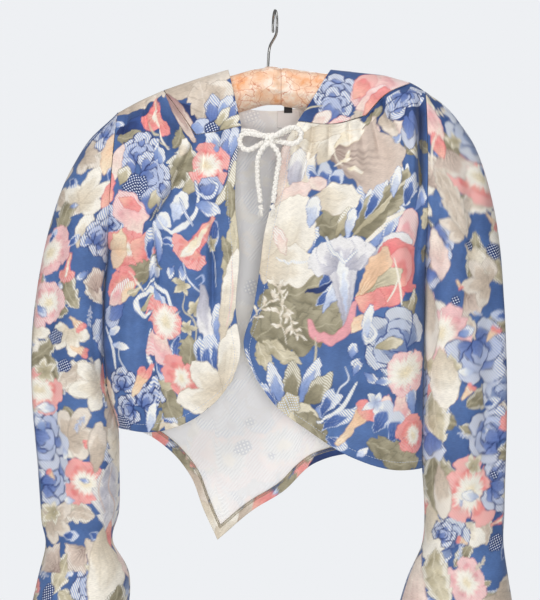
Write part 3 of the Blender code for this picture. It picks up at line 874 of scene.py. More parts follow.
class Spot:
    """One motif on a panel: the points round it in its own frame, in millimetres."""

    LINE_WIDTH = 0.9
    # Shares of a shape's length, kept off its very ends
    SPAN = (0.001, 0.999)
    LEAST_HALF = 0.2
    VEINED_WIDTH = 12.0

    def __init__(
        self, painter: PrintPainter, centre: Array, turn: float, reach: float, motif: Motif | None = None
    ) -> None:
        """Pick the points near a centre.

        Args:
            painter: The painter of the panel.
            centre: Place on the flat cloth.
            turn: Turn of the motif, in degrees.
            reach: How far the motif reaches.
            motif: The motif, drawn with the brush's wobble. A line has none and is drawn steadily.
        """
        offset = (painter.brushed if motif else painter.places) - centre
        self.painter, self.motif = painter, motif
        self.index = np.flatnonzero(np.max(np.abs(offset), axis=1) < reach)
        self.along, self.across = rotated(*offset[self.index].T, turn)

    def blend(self, cover: Array, colour: Array, hatch: Array | float = 0.0, check: float = 0.0) -> None:
        """Print a colour by a cover from 0 to 1.

        Args:
            cover: How much of the colour each point takes.
            colour: Linear colour, one or one for each point.
            hatch: How much of the raised lines shows.
            check: How much of the raised check shows.
        """
        keep = np.flatnonzero(cover > 0.0)
        wide = np.broadcast_to(colour, (len(cover), 3))[keep]
        masks = np.stack([np.broadcast_to(hatch, len(cover))[keep], np.full(len(keep), check)], axis=1)
        for values, target in ((self.painter.colours, wide), (self.painter.masks, masks)):
            values[self.index[keep]] += (target - values[self.index[keep]]) * cover[keep][:, None]

    def lay(self, gap: Array, colour: Array, hatch: Array | float = 0.0, check: float = 0.0) -> None:
        """Print a colour where the gap to a shape is negative, with a soft edge."""
        self.blend(unit(0.5 - gap / self.painter.soft_edge), colour, hatch, check)

    def lobe(
        self, lean: float, length: float, width: float, dye: Dye, belly: float, blunt: float,
        ruffle: float = 0.0, hatch: float = 0.0, line: float = 1.0, base: tuple[float, float] = (0.0, 0.0),
    ) -> None:
        """Draw one petal or plain leaf, with a pale margin that the raised lines cross.

        Args:
            lean: Its direction, in degrees.
            length: Length from base to tip.
            width: Greatest width.
            dye: Its colours.
            belly: Share of the length at which it is widest.
            blunt: Below 1 for a rounded tip, 1 or more for a pointed one.
            ruffle: How much its border waves.
            hatch: Raised lines on its margin.
            line: Width of its outline as a share of the usual one.
            base: Where it starts.
        """
        a, b = rotated(self.along - base[0], self.across - base[1], lean)
        t = np.clip(a / length, *self.SPAN)
        swell = np.sin(math.pi * t ** (math.log(0.5) / math.log(belly))) ** blunt
        half = 0.5 * width * swell * (1.0 + ruffle * np.sin(22.0 * t + 0.4 * width))
        gap = outside(a, b, half, length)
        if line:
            self.lay(gap - line * self.LINE_WIDTH, dye.line)
        share = b / np.maximum(half, self.LEAST_HALF)
        margin = ease(t + 0.34 * share ** 2 + 0.05 * np.sin(5.0 * share + length), 0.62, 0.78)
        flame = unit(np.sin(6.0 * share + 3.0 * t + 0.3 * length)) * (1.0 - 0.7 * t)
        veins = unit(np.sin(15.0 * share + 2.0 * np.sin(4.0 * t))) ** 3 * ease(t, 0.0, 0.2)
        broken = unit(0.65 + 0.55 * np.sin(5.0 * share + width))
        inner = ease(4.0 * margin * (1.0 - margin), 0.45, 1.0) * broken
        colour = layered(
            dye.base, (dye.tip, ease(t, 0.05, 0.8)), (dye.base, 0.38 * flame),
            (dye.line, 0.20 * veins * (width > self.VEINED_WIDTH)), (dye.edge, 0.85 * margin),
            (dye.line, dye.inked * inner),
        )
        self.lay(gap, colour, hatch * margin)

    def flare(self, length: float, mouth: float, dye: Dye, curve: float, hatch: float) -> None:
        """Draw a widening flower body from a narrow neck to a scalloped mouth.

        Args:
            length: Length from neck to mouth.
            mouth: Width of the mouth.
            dye: Its colours.
            curve: 1 for a straight flare, more for one that opens late.
            hatch: Raised lines near the mouth.
        """
        t = np.clip(self.along / length, 0.001, 1.2)
        half = 0.5 * mouth * (0.16 + 0.84 * np.minimum(t, 1.0) ** curve)
        share = np.clip(self.across / half, -1.5, 1.5)
        end = length * (1.0 - 0.10 * np.abs(np.sin(2.6 * math.pi * share)) - 0.16 * share ** 2)
        gap = outside(self.along, self.across, half, end)
        self.lay(gap - 0.6 * self.LINE_WIDTH, dye.line)
        ribs = unit(np.sin(11.0 * share + 2.0) * (1.0 - ease(t, 0.4, 1.0)))
        colour = layered(
            dye.base, (dye.tip, ease(t, 0.08, 0.70)), (dye.edge, 0.9 * ease(self.along / end, 0.80, 1.0)),
            (dye.line, 0.35 * ribs),
        )
        self.lay(gap, colour, hatch * ease(t, 0.4, 0.7))

    def stroke(self, points: Array, width: float, colour: Array, hatch: float = 0.0) -> None:
        """Draw a line that thins towards its ends.

        Args:
            points: Points that it passes through, in the spot's frame.
            width: Greatest width.
            colour: Linear colour.
            hatch: Raised lines on it.
        """
        gap = np.full(len(self.along), 1e3)
        fine = smooth_curve(points, np.linspace(0.0, 1.0, 7 * (len(points) - 1) + 1))
        for start, run, share in zip(fine[:-1], np.diff(fine, axis=0), np.linspace(0.0, 1.0, len(fine))):
            a, b = self.along - start[0], self.across - start[1]
            t = unit((a * run[0] + b * run[1]) / max(np.dot(run, run), 1e-9))
            taper = 0.5 * width * (0.45 + 0.55 * math.sin(math.pi * min(0.98, share + 0.02)))
            gap = np.minimum(gap, np.hypot(a - t * run[0], b - t * run[1]) - taper)
        self.lay(gap, colour, hatch)

    def peony(self) -> None:
        """Draw three rounds of cupped petals."""
        m = self.motif
        rounds = (
            (-0.10, 0.78, 0.8, ((-108, 0.94), (104, 0.90), (-58, 1.06), (54, 1.02), (0, 1.10))),
            (-0.24, 0.70, 0.4, ((-46, 0.80), (40, 0.86))),
            (-0.34, 0.62, 0.2, ((-4, 0.72),)),
        )
        for back, width, hatch, petals in rounds:
            base = (back * m.size, 0.0)
            for lean, reach in petals:
                self.lobe(lean, reach * m.size, width * m.size, m.dye, 0.68, 0.42, 0.06, hatch, 1.9, base)

    def bloom(self) -> None:
        """Draw five wide petals that fade into a pale ragged middle."""
        m = self.motif
        for number in range(5):
            lean = 72.0 * number + 9.0 * math.sin(2.3 * number)
            reach = m.size * (0.98 + 0.16 * math.sin(1.7 * number + m.size))
            self.lobe(lean, reach, 0.94 * m.size, m.dye, 0.70, 0.40, 0.10, 0.5 * m.hatch, 0.6)
        radius = (m.width or 0.58) * m.size
        turn = np.arctan2(self.across, self.along)
        ragged = 1.0 + 0.07 * np.sin(5.0 * turn + radius) + 0.15 * np.sin(2.0 * turn + 2.0 * radius)
        ragged += 0.09 * np.sin(13.0 * turn + radius) + 0.09 * np.sin(29.0 * turn + 2.0 * np.sin(3.0 * turn))
        share = np.hypot(self.along, self.across) / (radius * ragged)
        veins = unit(np.sin(17.0 * turn + 2.0 * np.sin(3.0 * turn))) * (1.0 - ease(share, 0.1, 0.8))
        colour = layered(THROAT.base, (THROAT.edge, ease(share, 0.1, 0.6)), (STRAW.tip, 0.5 * veins))
        hatch = (0.4 + 0.5 * m.hatch) * ease(share, 0.2, 0.5)
        self.blend(1.0 - ease(share, 0.55, 1.08), colour, hatch)

    def lily(self) -> None:
        """Draw four broad pale petals."""
        m = self.motif
        for lean, reach in ((-84, 0.8), (66, 0.85), (-34, 1.0), (16, 1.1)):
            self.lobe(lean, reach * m.size, 0.5 * m.size, m.dye, 0.6, 0.6, 0.03, 0.4 * m.hatch, 0.6)

    def trumpet(self) -> None:
        """Draw a side-on trumpet with a ruffled mouth and pale stamens."""
        m = self.motif
        size, mouth = m.size, m.width or 0.55 * m.size
        if m.dye is ORANGE:
            self.flare(size, mouth, PEACH, 1.0, m.hatch)
            lip = (0.72 * size, 0.0)
            for lean, reach in ((-40, 0.40), (36, 0.36)):
                self.lobe(lean, reach * size, 0.3 * size, CORAL, 0.66, 0.5, 0.05, 0.0, 0.4, lip)
            return
        self.flare(0.92 * size, 0.86 * mouth, m.dye, 1.5, 0.3 * m.hatch)
        lip = (0.66 * size, 0.0)
        for lean, reach in ((-64, 0.50), (64, 0.48), (-30, 0.46), (32, 0.44), (0, 0.42)):
            length = reach * mouth + 0.12 * size
            self.lobe(lean, length, 0.5 * mouth, m.dye, 0.66, 0.5, 0.08, 0.4 * m.hatch, 0.5, lip)
        stamens = CHALK if m.dye is LILAC else THROAT
        neck = (0.10 * size, 0.0)
        self.lobe(0.0, 0.78 * size, 0.18 * mouth, stamens, 0.62, 0.9, 0.2, m.hatch, 0.0, neck)

    def skirt(self) -> None:
        """Draw a ruffled fan from a dark, streaked throat; its width is the spread in degrees each way."""
        m = self.motif
        dye, spread = m.dye, m.width or 44.0
        reach = np.hypot(self.along, self.across)
        turn = np.degrees(np.arctan2(self.across, self.along))
        ruffle = 0.07 * np.sin(0.13 * turn + 1.0) + 0.03 * np.sin(0.37 * turn)
        border = m.size * (1.0 - 0.12 * (turn / spread) ** 2 + ruffle)
        gap = np.maximum(reach - border, np.radians(np.abs(turn) - spread) * reach)
        self.lay(gap - 0.6 * self.LINE_WIDTH, dye.line)
        share = reach / np.maximum(border, 1.0)
        streak = 0.5 + 0.5 * np.sin(0.50 * turn + 2.0 * np.sin(0.11 * turn))
        dark = (1.0 - ease(share, 0.15, 0.90)) * streak ** 1.5
        colour = layered(
            dye.base, (dye.tip, ease(share, 0.0, 0.55)), (dye.line, 0.9 * dark),
            (dye.edge, 0.6 * ease(share, 0.82, 1.0)),
        )
        self.lay(gap, colour, m.hatch * ease(share, 0.75, 0.9))

    def petal(self) -> None:
        """Draw a single petal."""
        m = self.motif
        self.lobe(0.0, m.size, m.width or 0.5 * m.size, m.dye, 0.58, 0.62, 0.03, m.hatch, 0.8)

    def leaf(self) -> None:
        """Draw a veined leaf with a ragged border."""
        m = self.motif
        dye, length, width = m.dye, m.size, m.width or 0.5 * m.size
        a, b = self.along, self.across + 0.06 * length * np.sin(math.pi * self.along / length)
        t = np.clip(a / length, *self.SPAN)
        lobes = (4.0 * t + 0.35 * np.sin(5.0 * t + width)) % 1.0
        half = 0.5 * width * np.sin(math.pi * t ** 0.85) ** 0.7 * (1.0 - 0.26 * lobes ** 1.5)
        gap = outside(a, b, half, length)
        self.lay(gap - 0.4 * self.LINE_WIDTH, dye.line)
        share = b / np.maximum(half, self.LEAST_HALF)
        beside = np.abs(share)
        cloud = 0.5 + 0.5 * np.sin(0.31 * a + 1.7 * np.sin(0.23 * b + 0.1 * length))
        veins = np.abs((4.0 * t - 0.9 * beside) % 1.0 - 0.5)
        margin = ease(beside, 0.55, 0.8)
        colour = layered(
            dye.base, (dye.tip, ease(t + 0.35 * share)), (dye.edge, 0.35 * cloud),
            (dye.line, 0.40 * ease(-veins, -0.10, -0.02) * ease(beside, 0.05, 0.3)),
            (dye.edge, 0.7 * ease(-np.abs(b), -1.1, -0.3)), (CREAM.edge, 0.6 * min(1.0, m.hatch) * margin),
        )
        self.lay(gap, colour, m.hatch * margin)

    def feather(self) -> None:
        """Draw narrow leaflets on both sides of a spine, with pale tips."""
        m = self.motif
        for step in range(7):
            at, reach = (0.04 + 0.12 * step) * m.size, m.size * (0.46 - 0.03 * step)
            for side in (-1.0, 1.0):
                lean = side * (38.0 - 2.5 * step)
                out = 0.62 * reach
                tip = (at + out * math.cos(math.radians(lean)), out * math.sin(math.radians(lean)))
                pale = (0.46 * reach, 0.22 * reach, CHALK, 0.45, 0.8, 0.0, m.hatch, 0.6, tip)
                self.lobe(lean + 6.0 * side, *pale)
                self.lobe(lean, 0.92 * reach, 0.36 * reach, m.dye, 0.5, 0.8, 0.05, 0.0, 0.3, (at, 0.0))
        self.lobe(0.0, m.size, 0.07 * m.size, STRAW, 0.4, 0.9, line=0.4)

    def spray(self) -> None:
        """Draw a thin bent stem with small outlined leaflets."""
        m = self.motif
        size = m.size
        bend = size * np.array([(0.0, 0.0), (0.35, 0.05), (0.70, -0.02), (1.0, 0.08)])
        self.stroke(bend, 1.6, m.dye.tip)
        for step in range(4):
            at = (0.18 + 0.21 * step) * size
            for side in (-1.0, 1.0):
                base = (at + 0.04 * size * side, 0.02 * size)
                lean = side * (52.0 - 6.0 * step + 9.0 * math.sin(2.1 * step + side))
                self.lobe(lean, 0.20 * size, 0.052 * size, m.dye, 0.55, 0.8, 0.0, m.hatch, 0.5, base)

    def star(self) -> None:
        """Draw a tuft of small pointed leaflets."""
        m = self.motif
        for lean, reach in ((0, 1.0), (58, 0.75), (-62, 0.8), (118, 0.5), (-126, 0.55)):
            self.lobe(lean, reach * m.size, 0.4 * m.size, m.dye, 0.5, 0.9, 0.0, m.hatch, 0.3)

    def check(self) -> None:
        """Draw a wavy round patch of raised check."""
        m = self.motif
        a, b = self.along, self.across / 0.8
        gap = np.hypot(a, b) - m.size * (1.0 + 0.07 * np.sin(5.0 * np.arctan2(b, a) + m.size))
        self.lay(gap - self.LINE_WIDTH, m.dye.line)
        colour = mix(m.dye.base, m.dye.tip, ease(np.hypot(a, b), 0.0, m.size))
        self.lay(gap, colour, check=1.0)


# The drawing of each kind in order; a line is drawn by the painter
DRAWINGS = dict(zip(Kind, (
    Spot.peony, Spot.bloom, Spot.lily, Spot.trumpet, Spot.skirt, Spot.petal, Spot.leaf, Spot.feather,
    Spot.spray, Spot.star, Spot.check,
)))


class PrintPainter:
    """Prints motifs on one panel of cloth. Its sizes are in millimetres."""

    GROUND = ("#2A4478", "#5272A8")
    # Heights between which painted shade darkens the ground towards the shoulders
    SHADE_ABOVE = (-230.0, -110.0)
    SOFT_EDGE = 1.1
    # Scattered rounds: kinds with dyes, smallest and largest size and the step, as shares of the spacing
    ROUNDS = (
        (((LEAF, OLIVE), (FEATHER, OLIVE), (LEAF, STRAW), (LEAF, BEIGE), (PETAL, CREAM), (LEAF, OLIVE)),
         0.70, 1.05, 0.8),
        (((PEONY, BLUE), (LILY, CREAM), (BLOOM, CORAL), (SKIRT, TAUPE), (PEONY, BLUE), (TRUMPET, CORAL),
          (LILY, BEIGE), (PEONY, DUSK), (BLOOM, PINK)), 0.48, 0.74, 1.0),
        (((SPRAY, CHALK), (STAR, STRAW), (CHECK, NAVY), (PETAL, OUTLINED), (PETAL, SKY), (TRUMPET, ORANGE),
          (SPRAY, CREAM), (PETAL, CHALK)), 0.16, 0.44, 0.66),
    )

    def __init__(self, panel: Panel, seed: int, soft_edge: float) -> None:
        """Dye the ground, with painted shade that darkens it towards the shoulders.

        Args:
            panel: The panel to print.
            seed: Seed of the drift and of scattered motifs.
            soft_edge: Width over which a dye's edge fades.
        """
        self.panel, self.seed, self.soft_edge = panel, seed, soft_edge
        self.places = panel.flat.reshape(-1, 2) * MM
        wobble = [
            0.6 * ripple(self.places, 12.0, seed + i) + 0.16 * ripple(self.places, 5.0, seed + 2 + i)
            for i in range(2)
        ]
        self.brushed = self.places + np.stack(wobble, axis=-1)
        # Painted shade: the ground darkens towards the shoulders
        shaded = ease(self.places[:, 1], *self.SHADE_ABOVE)
        drift = 0.72 + 0.22 * ripple(self.places, 90.0, seed) - 0.5 * shaded
        self.colours = mix(*map(linear, self.GROUND), unit(drift))
        self.masks = np.zeros((len(self.places), 2))

    def print_all(self, artwork: Artwork) -> None:
        """Print rows of motifs and lines, each over the ones before.

        Args:
            artwork: The rows, each a kind and then the values of a Motif or of a line.
        """
        for kind, *sizes in artwork:
            if kind is LINE:
                self.line(*sizes)
            else:
                motif = Motif(kind, *sizes)
                self.place(motif, self.panel.flat_at(motif.x, motif.z))

    def place(self, motif: Motif, centre: Array) -> None:
        """Print one motif.

        Args:
            motif: The motif.
            centre: Place on the flat cloth.
        """
        spot = Spot(self, centre, motif.turn, 1.35 * motif.size + 6.0, motif)
        if len(spot.index):
            DRAWINGS[motif.kind](spot)

    def line(self, route: Outline, width: float, dye: Dye, hatch: float = 0.0, rim: float = 0.0) -> None:
        """Print one drawn line.

        Args:
            route: Points on the hung cloth.
            width: Greatest width.
            dye: Its colours.
            hatch: Raised lines on it.
            rim: Width of its outline.
        """
        points = np.array([self.panel.flat_at(x, z) for x, z in route])
        centre = points.mean(axis=0)
        spot = Spot(self, centre, 0.0, np.max(np.abs(points - centre)) + width + 4.0)
        if rim:
            spot.stroke(points - centre, width + 2.0 * rim, dye.line)
        spot.stroke(points - centre, width, dye.tip, hatch)

    def scatter(self, spacing: float) -> None:
        """Print motifs of every kind over the whole panel.

        Args:
            spacing: Typical distance between large motifs.
        """
        rng = np.random.default_rng(self.seed)
        low, high = self.places.min(axis=0), self.places.max(axis=0)
        for kinds, small, large, step in self.ROUNDS:
            counts = np.ceil((high - low) / (step * spacing)).astype(int) + 1
            order = rng.permutation(int(counts[0] * counts[1])) % len(kinds)
            for number, choice in enumerate(order):
                cell = np.array([number % counts[0], number // counts[0]], dtype=float)
                cell[0] += 0.5 * (cell[1] % 2)
                centre = low + (cell + rng.uniform(-0.3, 0.3, 2)) * step * spacing
                kind, dye = kinds[choice]
                size = spacing * rng.uniform(small, large) * (0.5 if kind is CHECK else 1.0)
                turn, hatch = rng.uniform(0.0, 360.0), rng.uniform(0.2, 1.0)
                self.place(Motif(kind, 0.0, 0.0, size, turn, dye, hatch=hatch), centre)

    def result(self) -> dict[str, Array]:
        """Finish the print with a soft mottle in the dye.

        Returns:
            Colours and weave masks of the grid points, by attribute name.
        """
        fine, broad = ripple(self.places, 8.0, self.seed + 1), ripple(self.places, 23.0, self.seed + 2)
        mottle = 1.0 + 0.03 * fine + 0.05 * broad
        return {DYE: self.colours * mottle[:, None], WEAVE: np.pad(unit(self.masks), ((0, 0), (0, 1)))}


def printed(
    panel: Panel, seed: int, artwork: Artwork = (), spacing: float = 0.0,
    soft_edge: float = PrintPainter.SOFT_EDGE,
) -> Piece:
    """Print a panel and make its shell.

    Args:
        panel: The panel.
        seed: Seed of its print.
        artwork: Rows of motifs and lines.
        spacing: Typical distance between scattered motifs, or 0 for none.
        soft_edge: Width over which a dye's edge fades.

    Returns:
        The shell.
    """
    painter = PrintPainter(panel, seed, soft_edge)
    if spacing:
        painter.scatter(spacing)
    painter.print_all(artwork)
    return panel.build(painter.result())


# Rows of the prints: kind, x, z, size, turn, dye, width and hatch of a motif, or LINE and a line's values

LEFT_FRONT_PRINT: Artwork = (
    # The navy petal near the left armhole darkens the ground there as painted shade
    (PETAL, -198, -126, 96, 26, BEIGE, 27), (PETAL, -188, -150, 46, 22, NAVY, 22),
    (PETAL, -193, -139, 14, 10, SKY, 9, 0.8), (LEAF, -186, -154, 40, 10, OLIVE, 19),
    (LEAF, -124, -216, 66, 74, OLIVE, 42, 0.9), (LEAF, -120, -166, 30, 58, OLIVE, 16),
    (PETAL, -112, -176, 26, 66, CREAM, 12, 1.0), (PETAL, -108, -222, 40, 58, STRAW, 15, 0.8),
    (LINE, ((-116, -194), (-128, -222), (-146, -250)), 7.0, STRAW, 0.6, 0.9),
    (PEONY, -161, -175, 28, 92, BLUE), (PEONY, -149, -200, 31, -22, BLUE),
    (PETAL, -166, -200, 27, 128, BLUE, 21, 0.6), (PETAL, -141, -180, 24, 68, SKY, 13, 1.0),
    (PETAL, -190, -206, 46, 84, BLUSH, 15), (PETAL, -194, -230, 34, 84, CORAL, 12),
    (PETAL, -183, -210, 24, 68, STRAW, 14, 0.9), (CHECK, -164, -212, 16, 60, NAVY),
    (PETAL, -151, -244, 36, 58, BLUE, 27, 0.5), (PETAL, -147, -238, 24, 55, STRAW, 13),
    (TRUMPET, -141, -107, 38, -96, CORAL, 33),
    (LINE, ((-142, -112), (-137, -140), (-126, -168)), 2.4, THROAT),
    (LINE, ((-150, -134), (-142, -150), (-127, -165)), 2.0, STRAW), (PETAL, -129, -101, 68, -59, MAUVE, 15),
    (LINE, ((-124, -108), (-112, -124), (-103, -143)), 2.4, MAUVE, 0.0, 0.6),
    (PETAL, -71, -186, 44, 99, SKY, 17, 0.9), (PETAL, -60, -192, 50, 86, BLUE, 18, 0.7),
    (PETAL, -49, -184, 44, 88, SKY, 14, 0.6), (BLOOM, -81, -187, 26, 20, CORAL, 0.66, 0.6),
    (PETAL, -82, -229, 30, 66, BLUE, 28, 0.3),
    (LINE, ((-94, -206), (-88, -222), (-74, -224), (-68, -210), (-78, -203)), 4.2, SKY, 0.9, 1.0),
    (LINE, ((-43, -166), (-49, -186), (-54, -206)), 8.0, NAVY, 1.0, 1.0),
    (LINE, ((-47, -184), (-53, -210), (-68, -231)), 9.0, STRAW, 0.9, 1.0),
    (LEAF, -52, -250, 44, 94, OLIVE, 16), (PETAL, -119, -254, 44, 66, CHALK, 17, 1.0),
    (PETAL, -140, -254, 32, 48, CHALK, 14, 1.0),
    (LINE, ((-139, -246), (-129, -262), (-108, -259), (-93, -242), (-90, -222)), 4.8, CHALK, 1.0, 0.6),
    (LINE, ((-112, -226), (-106, -242), (-97, -258)), 3.4, SKY, 0.9, 0.6),
    (PETAL, -94, -232, 32, -24, SKY, 17, 0.9), (PETAL, -71, -252, 38, -104, OUTLINED, 19, 0.9),
    (PETAL, -132, -278, 18, 30, OUTLINED, 10, 0.9), (TRUMPET, -72, -249, 76, 229, CORAL, 33, 0.8),
    (PETAL, -92, -272, 36, 231, THROAT, 7, 1.0), (STAR, -76, -281, 15, 30, STRAW),
    (LINE, ((-84, -272), (-72, -292), (-69, -330)), 1.5, CHALK), (LEAF, -58, -326, 88, 82, STRAW, 26),
    (LEAF, -54, -304, 34, 104, OLIVE, 13), (PEONY, -200, -252, 22, 60, BLUE),
    (PETAL, -158, -272, 58, 108, PINK, 36, 0.5), (PETAL, -183, -226, 28, -28, CORAL, 13),
    (BLOOM, -173, -286, 29, 30, CORAL, 0.3, 0.2), (PETAL, -170, -278, 38, -28, CORAL, 46),
    (PETAL, -180, -262, 52, 248, PEACH, 23), (LEAF, -174, -313, 50, 6, OLIVE, 30),
    (PETAL, -146, -321, 25, 82, CHALK, 11, 1.0), (PETAL, -146, -318, 22, 48, CHALK, 10, 1.0),
    (BLOOM, -183, -328, 21, 70, CORAL, 0.25), (PETAL, -193, -364, 46, 80, PINK, 23, 1.0),
    (PETAL, -179, -348, 26, 84, PEACH, 13, 0.7), (PETAL, -178, -352, 36, -136, BLUE, 25, 0.6),
    (LEAF, -174, -338, 17, 30, STRAW, 9), (PETAL, -137, -304, 46, 96, SKY, 15, 0.9),
    (PETAL, -146, -298, 40, 90, OUTLINED, 12, 0.9),
    (LINE, ((-172, -312), (-160, -328), (-152, -338)), 1.7, THROAT),
    (PETAL, -151, -335, 34, -28, SKY, 15, 0.4),
    (
        LINE, ((-147, -361), (-160, -358), (-163, -345), (-152, -338), (-142, -346), (-138, -364)),
        5.6, CHALK, 1.0, 0.6,
    ),
    (LINE, ((-153, -333), (-140, -328), (-128, -337), (-122, -354)), 4.6, CHALK, 1.0, 0.5),
    (PETAL, -157, -358, 15, 36, STRAW, 10), (PETAL, -136, -412, 34, -70, OUTLINED, 21, 0.9),
    (PETAL, -112, -388, 38, -98, OUTLINED, 17, 0.9),
    (LINE, ((-146, -380), (-150, -404), (-142, -428)), 2.6, CHALK, 1.0),
    (PETAL, -130, -386, 40, -106, PINK, 30, 0.4), (BLOOM, -128, -371, 23, 12, CORAL, 0.80, 0.4),
    (STAR, -108, -327, 17, 235, STRAW), (STAR, -94, -358, 19, 80, STRAW), (STAR, -86, -366, 11, 20, STRAW),
    (STAR, -104, -378, 14, 5, STRAW), (LINE, ((-108, -302), (-104, -318), (-85, -337)), 2.0, CHALK),
    (LINE, ((-106, -340), (-108, -356), (-96, -368), (-94, -408)), 1.8, STRAW),
    (LINE, ((-93, -321), (-86, -317), (-84, -324), (-89, -328)), 2.2, SKY),
    (PETAL, -119, -305, 17, 250, SKY, 8, 0.9), (PETAL, -111, -305, 17, 280, SKY, 8, 0.9),
    (LEAF, -102, -424, 38, 86, OLIVE, 30), (PETAL, -87, -326, 80, -74, LILAC, 18, 0.2),
    (PETAL, -88, -424, 34, 92, OUTLINED, 11, 1.0), (PETAL, -80, -430, 44, 86, OUTLINED, 17, 1.0),
    (PETAL, -68, -430, 46, 92, OUTLINED, 15, 1.0), (PETAL, -66, -396, 46, 92, SKY, 13, 0.9),
    (PETAL, -63, -394, 114, 80, CREAM, 20, 0.3),
    (LINE, ((-51, -300), (-50, -340), (-57, -376)), 2.0, BLUSH), (LEAF, -130, -446, 56, -66, OLIVE, 36),
    (PETAL, -142, -444, 34, 26, STRAW, 12), (BLOOM, -109, -437, 25, 40, CORAL, 0.5, 0.3),
    (PETAL, -60, -458, 86, 80, CREAM, 31, 0.2), (PETAL, -62, -458, 54, 132, CREAM, 29, 0.2),
    (PETAL, -62, -457, 56, 194, CREAM, 29, 0.2), (PEONY, -181, -443, 19, 95, BLUE),
    (PEONY, -151, -463, 21, 60, BLUE), (PEONY, -172, -475, 19, 200, BLUE),
    (TRUMPET, -168, -459, 36, 62, ORANGE, 18), (LEAF, -204, -454, 36, 70, OLIVE, 22),
    (PETAL, -199, -438, 36, -74, CREAM, 20), (PETAL, -197, -462, 36, -68, PINK, 20, 0.6),
    (CHECK, -179, -491, 12, 0, NAVY), (LEAF, -147, -494, 26, 6, OLIVE, 17),
    (PETAL, -148, -503, 34, 82, CHALK, 11, 0.9), (PETAL, -133, -486, 22, 34, OUTLINED, 11, 0.9),
    (PETAL, -136, -498, 36, 14, CREAM, 19),
    (LINE, ((-200, -378), (-193, -396), (-188, -426)), 4.4, CHALK, 1.0, 0.4),
    (PETAL, -197, -386, 22, 34, CHALK, 9, 1.0), (PETAL, -193, -396, 26, -10, CHALK, 9, 1.0),
    (LINE, ((-182, -396), (-184, -410), (-174, -430)), 1.7, CHALK),
)
